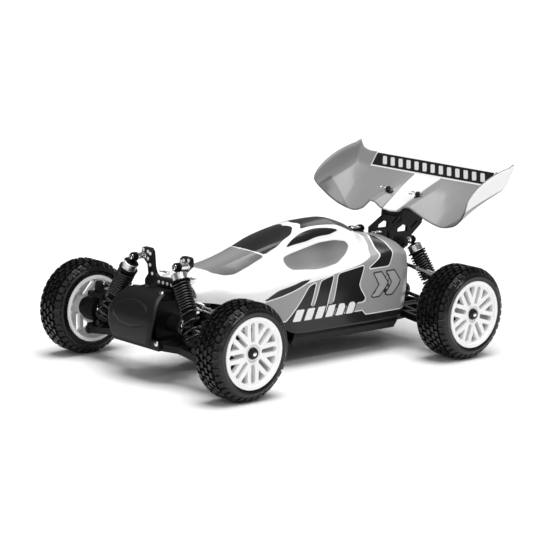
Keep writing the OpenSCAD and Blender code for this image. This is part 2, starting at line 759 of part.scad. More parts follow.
// Rear hub carrier: a ring about the drive joint with a bearing seat, a foot and a link ear
module rear_hub() {
    k = rear_joint_out[0];
    ear_x = rear_tower_x + link_w + 2 * side_gap;
    color("black") at_rear() {
        difference() {
            union() {
                bar_y(0, 0, k - 5, k + 11, ring_r);
                bar_y(0, 0, k + 11, k + 16, 9.5);
                bar_x(arm_out, -foot_half, foot_half, 4);
                block([-foot_half, arm_out[0] - 4, arm_out[1]], [foot_half, arm_out[0] + 4, -6]);
                block([ear_x, rear_link_out[0] - 5, 6], [ear_x + 4, k + 4, 17.5]);
            }
            bar_y(0, 0, k - 12, k + 11, void_r);
            bar_y(0, 0, k + 11.5, k + 17, 7);
            bar_y(0, 0, k + 10, k + 17, 5);
            bar_x(arm_out, -20, 20, pin_r + run_gap);
        }
        link_ear(rear_link_out, ear_x, 17.5);
        difference() {
            bar_y(0, 0, k + 11.5, k + 15.5, 7);
            bar_y(0, 0, k + 11, k + 16, axle_r + run_gap);
        }
    }
}

// Wheel axle: drive cup inside, then the bearing journal, the hexagon, the stub and its nut
axle_r = 4;
hex_af = 12;
hex_y = 17;
hex_t = 5;
stub_axle_r = 2.5;

module wheel_axle(k, lip_y) {
    nut_y = lip_y - 2.9;
    translate([0, k, 0]) mirror([0, 1, 0]) drive_cup(10.4);
    bar_y(0, 0, k + 10.4, k + hex_y, axle_r);
    translate([0, k + hex_y, 0]) rotate([-90, 0, 0]) cylinder(h = hex_t, d = hex_af / cos(30), $fn = 6);
    bar_y(0, 0, k + hex_y, lip_y - 0.2, stub_axle_r);
    translate([0, nut_y, 0]) rotate([-90, 0, 0]) cylinder(h = 2.5, d = 8 / cos(30), $fn = 6);
}

module front_axle() {
    color("silver") at_front() wheel_axle(kingpin_y, front_lip_y);
}

module rear_axle() {
    color("silver") at_rear() wheel_axle(rear_joint_out[0], rear_lip_y);
}

// Rim: a barrel with a lip, a dished face of twin spokes and a boss over the axle's hexagon
barrel_r = 29.2;
barrel_in = 27.7;
inner_lip_r = 30.8;

module rim(w, depth, slot_turn) {
    face_in = barrel_in - 0.1;
    face_front = 1.9;
    face_back = 6.2;
    profile = [[rim_lip_r, 0], [rim_lip_r, -2], [barrel_r, -3.5], [barrel_r, 3 - w], [inner_lip_r, 1.5 - w],
        [inner_lip_r, -w], [barrel_in, -w], [barrel_in, -face_back], [9, -face_back], [9, -depth],
        [stub_axle_r + run_gap, -depth],
        [stub_axle_r + run_gap, -3], [7, -3], [8, -face_front], [face_in, -face_front], [face_in + 1, 0]];
    difference() {
        rotate_extrude($fn = 96) polygon(profile);
        rotate([0, 0, slot_turn])
            for (i = [0:spokes - 1])
                rotate([0, 0, i * 360 / spokes])
                    translate([0, 0, -12])
                        linear_extrude(12) {
                            polygon([[10.2, -2], [25.2, -2.4], [26.7, 0],
                                [25.2, 2.4], [10.2, 2], [9.4, 0]]);
                            rotate(180 / spokes) spoke_window();
                        }
        translate([0, 0, -depth - 1])
            cylinder(h = hex_t + 1.1, d = hex_af / cos(30) + 2 * run_gap, $fn = 6);
    }
}

// Window between two twin spokes, widest beside the barrel
module spoke_window() {
    edge = 26.2;
    half = 156 / spokes / 2 * edge / 27.7 - 5.2;
    polygon([[16.2, 0], [edge - 1, -half], [edge, -half + 1.2], [edge + 0.4, 0],
        [edge, half - 1.2], [edge - 1, half]]);
}

module placed_rim(lip_y, w, k, slot_turn) {
    translate([0, lip_y, 0])
        rotate([-90, 0, 0])
            rim(w, lip_y - k - hex_y, slot_turn);
}

module front_rim() {
    color("white") at_front() placed_rim(front_lip_y, front_tyre_w, kingpin_y, 2.5);
}

module rear_rim() {
    color("white") at_rear() placed_rim(rear_lip_y, rear_tyre_w, rear_joint_out[0], 16);
}

// Radius of the tread at a place z across a tyre of width w
function crown(z, w) = lookup(min(-z, w + z), [[0.9, tyre_r - 5.5], [3.6, tyre_r - 1.8], [7.5, tyre_r]]);

// Tyre: a carcass whose beads sit on the barrel between the lips, ribbed with rows of tread that slots
// cut into blocks, each row half a block on from the last
module tyre(lip_y, w, rows) {
    pitch = (w - 2 * tread_inset) / rows;
    starts = [for (i = [0:rows - 1]) -tread_inset - i * pitch - (i > 0 ? tread_gap / 2 : 0)];
    ends = [for (i = [0:rows - 1]) -tread_inset - (i + 1) * pitch + (i < rows - 1 ? tread_gap / 2 : 0)];
    bead_r = rim_lip_r + 0.15;
    wall_r = tyre_r - 9.5;
    outer = [[barrel_r + 0.1, -3.9], [bead_r, -2.2], [bead_r, -0.4], [wall_r, -0.1], [wall_r + 3, -0.7]];
    ribs = [for (i = [0:rows - 1]) each concat(
        i > 0 ? [[crown(starts[i], w) - tread_depth, starts[i]]] : [],
        [[crown(starts[i], w), starts[i]], [crown(ends[i], w), ends[i]]],
        i < rows - 1 ? [[crown(ends[i], w) - tread_depth, ends[i]]] : [])];
    inner = [[wall_r + 3, 0.7 - w], [wall_r, 0.1 - w], [bead_r, 0.4 - w], [inner_lip_r + 0.2, 1.6 - w],
        [barrel_r + 0.1, 3.3 - w]];
    translate([0, lip_y, 0])
        rotate([-90, 0, 0])
            difference() {
                rotate_extrude($fn = 96) polygon(concat(outer, ribs, inner));
                for (k = [0:2 * tread_blocks - 1])
                    rotate([0, 0, 180 * k / tread_blocks])
                        tread_comb(starts, ends, w, k % 2);
            }
}

// Cutter for one slot across every other row of the tread
module tread_comb(starts, ends, w, first) {
    clear_r = tyre_r + 1;
    teeth = [for (i = [first:2:len(starts) - 1]) let (
            floor_r = crown((starts[i] + ends[i]) / 2, w) - tread_depth,
            z0 = starts[i] + tread_gap / 2,
            z1 = ends[i] - tread_gap / 2)
        each [[clear_r, z0], [floor_r, z0], [floor_r, z1], [clear_r, z1]]];
    last = len(teeth) - 1;
    rotate([90, 0, 0])
        linear_extrude(tread_slot, center = true)
            polygon(concat([[clear_r + 2, teeth[0][1]]], teeth, [[clear_r + 2, teeth[last][1]]]));
}

module front_tyre() {
    color("darkslategray") at_front() tyre(front_lip_y, front_tyre_w, front_tread_rows);
}

module rear_tyre() {
    color("darkslategray") at_rear() tyre(rear_lip_y, rear_tyre_w, rear_tread_rows);
}

// Upper link: a turnbuckle between two eyes
module upper_link(p_in, p_out, x0) {
    dir = p_out - p_in;
    difference() {
        union() {
            for (p = [p_in, p_out])
                bar_x(p, x0, x0 + link_w, 3.4);
            translate([x0 + link_w / 2, p_in[0], p_in[1]])
                rotate([atan2(dir[1], dir[0]), 0, 0]) {
                    bar_y(0, 0, 2.5, norm(dir) - 2.5, 1.6);
                    for (y = [2.5, norm(dir) - 14.5])
                        bar_y(0, 0, y, y + 12, 2.4);
                    bar_y(0, 0, norm(dir) / 2 - 3, norm(dir) / 2 + 3, 2);
                }
        }
        for (p = [p_in, p_out])
            bar_x(p, x0 - 1, x0 + link_w + 1, pin_r + run_gap);
    }
}

module front_link() {
    color("silver") at_front() upper_link(front_link_in, front_link_out, front_tower_x + side_gap);
}

module rear_link() {
    color("silver") at_rear() upper_link(rear_link_in, rear_link_out, rear_tower_x + side_gap);
}

// Driveshaft: a rod with a ball and a cross pin at each end
module driveshaft(p_in) {
    ball_r = 3.2;
    cross_half = 6.15;
    cross_r = 0.9;
    dir = [arm_span, -arm_drop];
    translate([0, p_in[0], p_in[1]])
        rotate([arm_tilt, 0, 0]) {
            bar_y(0, 0, 0, norm(dir), 1.8);
            for (y = [0, norm(dir)])
                translate([0, y, 0]) {
                    sphere(r = ball_r);
                    translate([0, 0, cross_r - cross_half])
                        cylinder(h = 2 * (cross_half - cross_r), r = cross_r);
                    for (z = [cross_r - cross_half, cross_half - cross_r])
                        translate([0, 0, z]) sphere(r = cross_r);
                }
        }
}

module front_driveshaft() {
    color("silver") at_front() driveshaft(front_joint_in);
}

module rear_driveshaft() {
    color("silver") at_rear() driveshaft(rear_joint_in);
}

// Places children with Z running up a shock from its foot to its top
module along_shock(foot, top) {
    up = (top - foot) / norm(top - foot);
    translate(foot) rotate([0, acos(up[2]), atan2(up[1], up[0])]) children();
}

// Shock levels above the foot eye, and below the top eye
seat_low = 6.5;
seat_t = 2;
tube_low = 26;
tube_r = 6;
cap_r = 6.4;
rod_r = 1.6;
flange_drop = 14;
flange_t = 1.5;
cap_drop = 6;
spring_r = (spring_od - spring_wire) / 2;

// Shock body: eye, cap, spring collar and the oil tube
module shock_body(foot, top) {
    len_all = norm(top - foot);
    difference() {
        union() {
            along_shock(foot, top) {
                translate([0, 0, tube_low]) cylinder(h = len_all - cap_drop - tube_low, r = tube_r);
                translate([0, 0, len_all - flange_drop]) cylinder(h = flange_t, r = spring_od / 2 + 0.2);
                translate([0, 0, len_all - flange_drop]) cylinder(h = flange_drop - cap_drop, r = cap_r);
                translate([0, 0, len_all - cap_drop]) cylinder(h = cap_drop - 3, r = eye_w / 2 - 0.2);
            }
            bar_x([top[1], top[2]], top[0] - eye_w / 2, top[0] + eye_w / 2, eye_r);
        }
        along_shock(foot, top) {
            translate([0, 0, tube_low + 2]) cylinder(h = len_all - 9 - tube_low - 2, r = 5);
            translate([0, 0, tube_low - 1]) cylinder(h = 4, r = rod_r + run_gap);
        }
        bar_x([top[1], top[2]], top[0] - 9, top[0] + 9, pin_r + run_gap);
    }
}

// Shock shaft: foot eye, spring seat, rod and piston
module shock_shaft(foot, top) {
    foot_play = 0.75;
    difference() {
        union() {
            bar_x([foot[1], foot[2]], foot[0] - eye_w / 2, foot[0] + eye_w / 2, eye_r);
            along_shock(foot, top) {
                translate([0, 0, 2]) cylinder(h = seat_low - 2, r = 2.4);
                translate([0, 0, seat_low]) cylinder(h = seat_t, r = spring_od / 2 + 0.2);
                translate([0, 0, seat_low]) cylinder(h = 30, r = rod_r);
                translate([0, 0, 36]) cylinder(h = 3, r = 4.9);
            }
        }
        bar_x([foot[1], foot[2]], foot[0] - 9, foot[0] + 9, pin_r + foot_play);
    }
}

// Spring wire: the ends stand square on their seats, the curls are open below and close above
rings_per_curl = 8;
wire_sides = 6;
curls = open_curls + close_curls;
close_pitch = 2.5;
end_rise = spring_wire * 1.75;

// Height of the wire after t curls, for a spring that fills the length h
function coil_height(t, h) = let (open_pitch = (h - 2 * end_rise - close_curls * close_pitch) / open_curls)
    end_rise + (t < open_curls ? t * open_pitch : open_curls * open_pitch + (t - open_curls) * close_pitch);

// A ring of the wire: centre angle, height and tilt, where 90 stands upright
function wire_ring(a, z, tilt) = [for (i = [0:wire_sides - 1])
    let (b = 360 * i / wire_sides, out = spring_r + spring_wire / 2 * cos(b), e = spring_wire / 2 * sin(b))
    [out * cos(a) + e * sin(tilt) * sin(a), out * sin(a) - e * sin(tilt) * cos(a), z + e * cos(tilt)]];

// Angle that the wire turns through in one wire thickness
wire_angle = spring_wire / spring_r * 180 / PI;

function coil_rings(h) = concat(
    [wire_ring(-wire_angle, 0, 90), wire_ring(-wire_angle, spring_wire, 90),
     wire_ring(-wire_angle * 0.75, spring_wire * 1.5, 45)],
    [for (i = [0:curls * rings_per_curl])
        wire_ring(360 * i / rings_per_curl, coil_height(i / rings_per_curl, h), 0)],
    [wire_ring(360 * curls + wire_angle * 0.75, h - spring_wire * 1.5, 45),
     wire_ring(360 * curls + wire_angle, h - spring_wire, 90), wire_ring(360 * curls + wire_angle, h, 90)]);

module tube(rings) {
    n = len(rings[0]);
    last = (len(rings) - 1) * n;
    sides = [for (k = [0:len(rings) - 2]) for (i = [0:n - 1])
        let (a = k * n + i, b = k * n + (i + 1) % n)
        for (f = [[a, b, b + n], [a, b + n, a + n]]) f];
    caps = [for (i = [1:n - 2]) for (f = [[0, i + 1, i], [last, last + i, last + i + 1]]) f];
    polyhedron([for (r = rings) for (p = r) p], concat(sides, caps), convexity = 8);
}

function middle(ring) = [for (k = [0:2]) [for (p = ring) p[k]] * [for (p = ring) 1] / len(ring)];

// Least space between the wire and itself, over rings at least half a curl apart
function wire_gap(rings) = let (c = [for (r = rings) middle(r)])
    min([for (i = [0:len(c) - 1]) for (j = [i + rings_per_curl / 2:1:len(c) - 1])
        norm(c[i] - c[j])]) - spring_wire;

module spring(foot, top) {
    h = norm(top - foot) - flange_drop - seat_low - seat_t;
    rings = coil_rings(h);
    echo(least_spring_gap = wire_gap(rings));
    along_shock(foot, top) translate([0, 0, seat_low + seat_t]) tube(rings);
}

module front_shock_body() {
    color("black") at_front() shock_body(front_foot, front_top);
}

module front_shock_shaft() {
    color("silver") at_front() shock_shaft(front_foot, front_top);
}

module front_spring() {
    color("black") at_front() spring(front_foot, front_top);
}

module rear_shock_body() {
    color("black") at_rear() shock_body(rear_foot, rear_top);
}

module rear_shock_shaft() {
    color("silver") at_rear() shock_shaft(rear_foot, rear_top);
}

module rear_spring() {
    color("black") at_rear() spring(rear_foot, rear_top);
}

placed() chassis_tub();
placed() front_bumper();
placed() gear_cases();
placed() front_shock_tower();
placed() rear_shock_tower();
placed() body_shell();
placed() wing_mount();
placed() wing();
placed() motor();
placed() electronics();
placed() front_diff();
placed() rear_diff();
placed() centre_shaft();
placed() motor_pinion();
placed() steering_crank();
placed() drag_link();
for (side = SIDES) {
    placed() sided(side) front_arm();
    placed() sided(side) front_c_hub();
    placed() sided(side) front_knuckle();
    placed() sided(side) front_axle();
    placed() sided(side) front_rim();
    placed() sided(side) front_tyre();
    placed() sided(side) front_link();
    placed() sided(side) front_shock_body();
    placed() sided(side) front_spring();
    placed() sided(side) front_shock_shaft();
    placed() sided(side) front_driveshaft();
    placed() sided(side) tie_rod();
    placed() sided(side) rear_arm();
    placed() sided(side) rear_hub();
    placed() sided(side) rear_axle();
    placed() sided(side) rear_rim();
    placed() sided(side) rear_tyre();
    placed() sided(side) rear_link();
    placed() sided(side) rear_shock_body();
    placed() sided(side) rear_spring();
    placed() sided(side) rear_shock_shaft();
    placed() sided(side) rear_driveshaft();
}
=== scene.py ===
import math
import random

import bmesh
import bpy
import numpy as np
from mathutils import Matrix, Vector


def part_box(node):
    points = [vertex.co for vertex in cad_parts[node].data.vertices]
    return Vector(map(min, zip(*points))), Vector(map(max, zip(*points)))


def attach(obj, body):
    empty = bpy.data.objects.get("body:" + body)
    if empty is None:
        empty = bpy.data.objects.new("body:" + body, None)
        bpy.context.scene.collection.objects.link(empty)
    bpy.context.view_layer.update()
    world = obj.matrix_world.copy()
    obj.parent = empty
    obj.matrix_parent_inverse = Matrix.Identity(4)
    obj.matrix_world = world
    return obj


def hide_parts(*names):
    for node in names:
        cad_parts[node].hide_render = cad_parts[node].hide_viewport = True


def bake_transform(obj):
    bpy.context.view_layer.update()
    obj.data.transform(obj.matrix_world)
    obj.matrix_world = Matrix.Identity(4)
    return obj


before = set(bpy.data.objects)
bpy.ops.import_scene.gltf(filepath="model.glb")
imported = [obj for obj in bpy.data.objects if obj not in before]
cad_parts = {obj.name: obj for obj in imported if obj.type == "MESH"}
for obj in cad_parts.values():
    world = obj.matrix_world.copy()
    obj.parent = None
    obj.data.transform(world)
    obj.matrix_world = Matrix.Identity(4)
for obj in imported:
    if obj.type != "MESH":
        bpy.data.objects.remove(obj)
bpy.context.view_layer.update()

# Sizes and places are in mm, unless a comment says otherwise
MM = 0.001
ORIGIN_X = 12.0      # the middle of the wheelbase in the row's frame
AXLE_H = 43.5        # height of the axles above the floor
AXLE_X = {"front": 137.5, "rear": -137.5}
OUTWARD = {"front": 1, "rear": -1}
SIDES = {"left": 1, "right": -1}


def at(x, y, h):
    """A point of the car, in mm from the middle of the wheelbase at axle height, in the row's metres."""
    return Vector(((x + ORIGIN_X) * MM, y * MM, (h + AXLE_H) * MM))


def end_at(end, x, y, h):
    """The same, with x measured outward from one axle."""
    return at(AXLE_X[end] + OUTWARD[end] * x, y, h)


# Materials

TONE_RANGE = (0.3, 0.7)      # where the noise that mottles a colour mostly lies
MOTTLE_DETAIL = 4.0
SPECK_DETAIL = 3.0
LEAST_ROUGH = 0.02
PAINT_EDGE = 0.12            # half the width over which the edge of a painted shape blends


def material(name, colour, rough, metal=0.0, coat=0.0, tint=0.0, tint_mm=20.0, grain_mm=0.6, grain=0.0,
             rough_spread=0.06, specular=0.5, coat_rough=0.05):
    """A node material: mottled colour and gloss, and a fine moulded or cast grain."""
    m = bpy.data.materials.new(name)
    m.use_nodes = True
    nodes, links = m.node_tree.nodes, m.node_tree.links
    shader = nodes["Principled BSDF"]
    shader.inputs["Metallic"].default_value = metal
    shader.inputs["Specular IOR Level"].default_value = specular
    shader.inputs["Coat Weight"].default_value = coat
    shader.inputs["Coat Roughness"].default_value = coat_rough
    place = nodes.new("ShaderNodeTexCoord").outputs["Object"]
    mottle = nodes.new("ShaderNodeTexNoise")
    mottle.inputs["Scale"].default_value = 1.0 / (tint_mm * MM)
    mottle.inputs["Detail"].default_value = MOTTLE_DETAIL
    links.new(place, mottle.inputs["Vector"])
    tone = nodes.new("ShaderNodeMapRange")
    tone.inputs["From Min"].default_value = TONE_RANGE[0]
    tone.inputs["From Max"].default_value = TONE_RANGE[1]
    tone.inputs["To Min"].default_value = 1.0 - tint
    tone.inputs["To Max"].default_value = 1.0 + tint
    links.new(mottle.outputs["Fac"], tone.inputs["Value"])
    paint = nodes.new("ShaderNodeMix")
    paint.data_type = "RGBA"
    paint.blend_type = "MULTIPLY"
    paint.inputs["Factor"].default_value = 1.0
    paint.inputs["A"].default_value = (*colour, 1.0)
    links.new(tone.outputs["Result"], paint.inputs["B"])
    links.new(paint.outputs["Result"], shader.inputs["Base Color"])
    speck = nodes.new("ShaderNodeTexNoise")
    speck.inputs["Scale"].default_value = 1.0 / (grain_mm * MM)
    speck.inputs["Detail"].default_value = SPECK_DETAIL
    links.new(place, speck.inputs["Vector"])
    gloss = nodes.new("ShaderNodeMapRange")
    gloss.inputs["To Min"].default_value = max(LEAST_ROUGH, rough - rough_spread)
    gloss.inputs["To Max"].default_value = min(1.0, rough + rough_spread)
    links.new(mottle.outputs["Fac"], gloss.inputs["Value"])
    links.new(gloss.outputs["Result"], shader.inputs["Roughness"])
    if grain:
        bump = nodes.new("ShaderNodeBump")
        bump.inputs["Strength"].default_value = 1.0
        bump.inputs["Distance"].default_value = grain * MM
        links.new(speck.outputs["Fac"], bump.inputs["Height"])
        links.new(bump.outputs["Normal"], shader.inputs["Normal"])
    m["paint"] = paint.name
    return m


def livery(name, base, layers, **kw):
    """A painted material: each layer is (attribute, colour), laid on where the attribute is below nought.

    A layer with two colours goes from one to the other as its fade attribute rises.
    """
    m = material(name, base, **kw)
    nodes, links = m.node_tree.nodes, m.node_tree.links
    shader = nodes["Principled BSDF"]
    under = nodes[m["paint"]].outputs["Result"]
    for attribute, colour in layers:
        edge = nodes.new("ShaderNodeAttribute")
        edge.attribute_name = attribute
        mask = nodes.new("ShaderNodeMapRange")
        mask.inputs["From Min"].default_value = PAINT_EDGE
        mask.inputs["From Max"].default_value = -PAINT_EDGE
        links.new(edge.outputs["Fac"], mask.inputs["Value"])
        coat = nodes.new("ShaderNodeMix")
        coat.data_type = "RGBA"
        links.new(mask.outputs["Result"], coat.inputs["Factor"])
        links.new(under, coat.inputs["A"])
        if len(colour) == 2:
            fade = nodes.new("ShaderNodeAttribute")
            fade.attribute_name = attribute + "_fade"
            blend = nodes.new("ShaderNodeMix")
            blend.data_type = "RGBA"
            blend.inputs["A"].default_value = (*colour[0], 1.0)
            blend.inputs["B"].default_value = (*colour[1], 1.0)
            links.new(fade.outputs["Fac"], blend.inputs["Factor"])
            links.new(blend.outputs["Result"], coat.inputs["B"])
        else:
            coat.inputs["B"].default_value = (*colour, 1.0)
        under = coat.outputs["Result"]
    links.new(under, shader.inputs["Base Color"])
    return m


def grey(v):
    """A colour without hue."""
    return (v, v, v)


BLACK = material("black_nylon", grey(0.005), 0.42, tint=0.3, tint_mm=25, grain_mm=0.5, grain=0.04,
                 specular=0.16)
SATIN_BLACK = material("black_satin", grey(0.008), 0.4, tint=0.12, tint_mm=40, grain_mm=0.7, grain=0.02,
                       specular=0.18)
RUBBER = material("tyre_rubber", grey(0.004), 0.26, tint=0.3, tint_mm=9, grain_mm=0.45, grain=0.05,
                  rough_spread=0.1, specular=0.28)
DEEP_BLACK = material("shock_black", grey(0.003), 0.6, tint=0.2, tint_mm=12, grain_mm=0.5, grain=0.02,
                      specular=0.08)
RIM = material("rim_nylon", grey(0.88), 0.32, tint=0.02, tint_mm=25, grain_mm=0.6, grain=0.02)
STEEL = material("bright_steel", grey(0.78), 0.2, metal=1.0, tint=0.08, tint_mm=6, grain_mm=0.3, grain=0.01)
DARK_STEEL = material("dark_steel", grey(0.02), 0.3, metal=0.5, specular=0.3, tint=0.2, tint_mm=6,
                      grain_mm=0.3, grain=0.01)
SILVER = material("turned_aluminium", grey(0.6), 0.28, metal=1.0, tint=0.05, tint_mm=8, grain_mm=0.25,
                  grain=0.01)
SPRING = material("spring_lacquer", grey(0.004), 0.22, tint=0.2, tint_mm=10, grain_mm=0.6, grain=0.01,
                  specular=0.5)
BUTTON = material("bright_button", grey(0.85), 0.3, metal=0.2, tint=0.04, tint_mm=4, grain_mm=0.3, grain=0.01)
SIDEWALL = material("tyre_wall", grey(0.005), 0.16, tint=0.2, tint_mm=14, grain_mm=0.6, grain=0.006,
                    specular=0.42)
CAN = material("motor_can", grey(0.3), 0.3, metal=1.0, tint=0.1, tint_mm=10, grain_mm=0.3, grain=0.01)
BRASS = material("gear_brass", (0.55, 0.42, 0.2), 0.3, metal=1.0, tint=0.1, tint_mm=6, grain_mm=0.3,
                 grain=0.01)


# Building pieces

DOUBLE_M = 1e-7              # points closer than this are one, in metres
NOUGHT_M = 1e-8              # edges shorter than this are taken out, in metres
SMOOTH_DEG = 35              # edges bent by more than this stay hard
TREAD_SMOOTH_DEG = 30
WIRE_SMOOTH_DEG = 50
OUTLINE_SHARE = 0.45         # most of a side that one corner takes, in a closed outline
LINE_SHARE = 0.48            # and in an open line
CURVE_STEPS = 6              # steps round a corner of an open line


def piece(name, verts, faces, look, body):
    """A new smooth-shaded piece of the visual model, riding on a body if one is named."""
    mesh = bpy.data.meshes.new(name)
    mesh.from_pydata([tuple(v) for v in verts], [], faces)
    mesh.update()
    mesh.polygons.foreach_set("use_smooth", [True] * len(mesh.polygons))
    mesh.materials.append(look)
    obj = bpy.data.objects.new(name, mesh)
    bpy.context.scene.collection.objects.link(obj)
    if body:
        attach(obj, body)
    return obj


def grid(rows, columns, loop_rows=False, loop_columns=False):
    """Faces between rows of points that follow one another, closed into a loop either way if asked."""
    faces = []
    for i in range(rows if loop_rows else rows - 1):
        this, following = i * columns, (i + 1) % rows * columns
        for j in range(columns if loop_columns else columns - 1):
            k = (j + 1) % columns
            faces.append((this + j, this + k, following + k, following + j))
    return faces


def tube(rings, ring):
    """Faces of a tube that is closed at its ends, from rings of points."""
    ends = [tuple(range(ring)), tuple((rings - 1) * ring + k for k in reversed(range(ring)))]
    return grid(rings, ring, loop_columns=True) + ends


def frame_of(axis):
    """An axis made one long, and two directions square to it."""
    axis = Vector(axis).normalized()
    side = axis.cross(Vector((0, 0, 1)) if abs(axis.z) < 0.9 else Vector((1, 0, 0))).normalized()
    return axis, side, axis.cross(side)


def lathe(name, profile, centre, axis, look, body, turns=48):
    """A closed turned piece: profile is (radius, place along the axis) in mm."""
    axis, a, b = frame_of(axis)
    verts = []
    for k in range(turns):
        t = 2 * math.pi * k / turns
        out = a * math.cos(t) + b * math.sin(t)
        verts += [centre + (out * r + axis * z) * MM for r, z in profile]
    obj = piece(name, verts, grid(turns, len(profile), True, True), look, body)
    tidy(obj)


def tidy(obj, smooth_deg=SMOOTH_DEG):
    """Joins doubled points, turns faces outward and keeps hard edges hard."""
    bm = bmesh.new()
    bm.from_mesh(obj.data)
    bmesh.ops.remove_doubles(bm, verts=bm.verts, dist=DOUBLE_M)
    bmesh.ops.dissolve_degenerate(bm, edges=bm.edges, dist=NOUGHT_M)
    bmesh.ops.recalc_face_normals(bm, faces=bm.faces)
    limit = math.radians(smooth_deg)
    for e in bm.edges:
        e.smooth = len(e.link_faces) != 2 or e.calc_face_angle(0) < limit
    bm.to_mesh(obj.data)
    bm.free()


def corner(before, tip, after, cut, share):
    """Start and end of a rounded corner, a cut away from its tip or a share of the shorter side."""
    back, on = before - tip, after - tip
    d = min(cut, np.linalg.norm(back) * share, np.linalg.norm(on) * share)
    return tip + back / np.linalg.norm(back) * d, tip + on / np.linalg.norm(on) * d


def corner_point(a, tip, b, t):
    """A point of the curve from a to b that the tip pulls outward."""
    return (1 - t) ** 2 * a + 2 * t * (1 - t) * tip + t * t * b


def rounded(points, cut, steps=4):
    """A closed outline with its corners cut and rounded."""
    out = []
    n = len(points)
    for i in range(n):
        before, tip, after = (np.array(points[(i + k) % n], float) for k in (-1, 0, 1))
        a, b = corner(before, tip, after, cut, OUTLINE_SHARE)
        out += [corner_point(a, tip, b, s / steps) for s in range(steps + 1)]
    return out


# Stage, light and camera

# Places and sizes of the stage are in metres
FLOOR_HALF = 80.0
SKY = 0.17                   # strength of the even white sky
AIM = Vector((0, 0, 0.06))
SUN_AT = (-0.02, 0.06, 1.0)      # where the broad top light comes from
SUN_POWER = 3.15
SUN_DISC_DEG = 48
# name, place, width and length, power
SOFTBOXES = (("key", (0.0, 1.75, 1.95), (1.5, 0.12), 9), ("front", (1.8, 1.6, 1.2), (1.8, 1.8), 13),
             ("rim", (-1.6, -0.9, 1.3), (0.8, 0.8), 4))
CAMERA_AT = (1.3628, 1.4769, 0.4701)
CAMERA_TURN_DEG = (-132.41, -11.16, 1.82)      # yaw, pitch and roll, fitted to the wheels in the photo
FOCAL_PX = 2210
FRAME_PX = 550
SENSOR_MM = 36.0


def aim(lamp, place):
    """Puts a lamp in its place, turned to the middle of the car."""
    lamp.location = place
    lamp.rotation_euler = (AIM - lamp.location).to_track_quat("-Z", "Y").to_euler()
    bpy.context.scene.collection.objects.link(lamp)


def stage():
    """A wide pale floor under an even white sky, with one broad top light and a few softboxes."""
    floor = bpy.data.meshes.new("floor")
    h = FLOOR_HALF
    floor.from_pydata([(-h, -h, 0), (h, -h, 0), (h, h, 0), (-h, h, 0)], [], [(0, 1, 2, 3)])
    paper = material("floor_paper", grey(0.93), 0.8, tint=0.004, tint_mm=400, grain_mm=2, grain=0.01,
                     specular=0.1)
    floor.materials.append(paper)
    obj = bpy.data.objects.new("floor", floor)
    bpy.context.scene.collection.objects.link(obj)
    world = bpy.data.worlds.new("studio")
    world.use_nodes = True
    world.node_tree.nodes["Background"].inputs["Color"].default_value = (1, 1, 1, 1)
    world.node_tree.nodes["Background"].inputs["Strength"].default_value = SKY
    bpy.context.scene.world = world
    bpy.context.scene.view_settings.view_transform = "Standard"
    sun = bpy.data.lights.new("top", "SUN")
    sun.energy = SUN_POWER
    sun.angle = math.radians(SUN_DISC_DEG)
    aim(bpy.data.objects.new("top", sun), SUN_AT)
    for name, place, size, power in SOFTBOXES:
        light = bpy.data.lights.new(name, "AREA")
        light.shape = "RECTANGLE"
        light.size, light.size_y = size
        light.energy = power
        aim(bpy.data.objects.new(name, light), place)


def camera():
    """The camera of the photo."""
    yaw, pitch, roll = (math.radians(d) for d in CAMERA_TURN_DEG)
    forward = Vector((math.cos(pitch) * math.cos(yaw), math.cos(pitch) * math.sin(yaw), math.sin(pitch)))
    right = forward.cross(Vector((0, 0, 1))).normalized()
    up = right.cross(forward)
    c, s = math.cos(roll), math.sin(roll)
    x, y = right * c + up * s, up * c - right * s
    data = bpy.data.cameras.new("photo_view")
    data.sensor_width = SENSOR_MM
    data.lens = FOCAL_PX * SENSOR_MM / FRAME_PX
    obj = bpy.data.objects.new("photo_view", data)
    turn = Matrix((x, y, -forward)).transposed().to_4x4()
    obj.matrix_world = Matrix.Translation(CAMERA_AT) @ turn
    bpy.context.scene.collection.objects.link(obj)
    bpy.context.scene.camera = obj


# Tyres

LIP_Y = {"front": 126.4, "rear": 123.4}      # outer face of a tyre, from the middle of the car
TYRE_W = {"front": 32.5, "rear": 39.0}
TYRE_TURNS = 144       # faces round the tyre
CROWN = ((0.9, 38.0), (3.6, 41.7), (7.5, 43.5))      # radius of the tread at a depth in from either shoulder
# Places across a tyre count inward from its outer face, below nought
TYRE_WALL = ((29.3, -3.9), (31.5, -2.4), (31.55, -1.0), (32.2, -0.7), (33.4, -0.5), (34.6, -0.2),
             (35.4, -0.1), (36.1, -0.35), (36.7, -0.9), (37.3, -1.5), (38.3, -2.0), (39.0, -2.8))
BEAD_POINTS = 3        # the first points of the wall, which make its bead
INNER_BEAD = ((31.55, 0.5), (30.4, 1.6), (29.3, 3.3))      # outward from the tyre's inner face
FLOOR_INSET = 4.0      # from a shoulder to the floor between the blocks
FLOOR_SINK = 0.1
FLOOR_POINTS = 9
TREAD_ROWS = {"front": 6, "rear": 7}
TREAD_SEED = {"front": 31, "rear": 57}
TREAD_BLOCKS = 36      # in a row
TREAD_INSET = 1.6      # from a shoulder to the first row
TREAD_GAP = 1.6        # between rows
TREAD_SLOT = 2.0       # between the blocks of a row
TREAD_DEPTH = 2.2
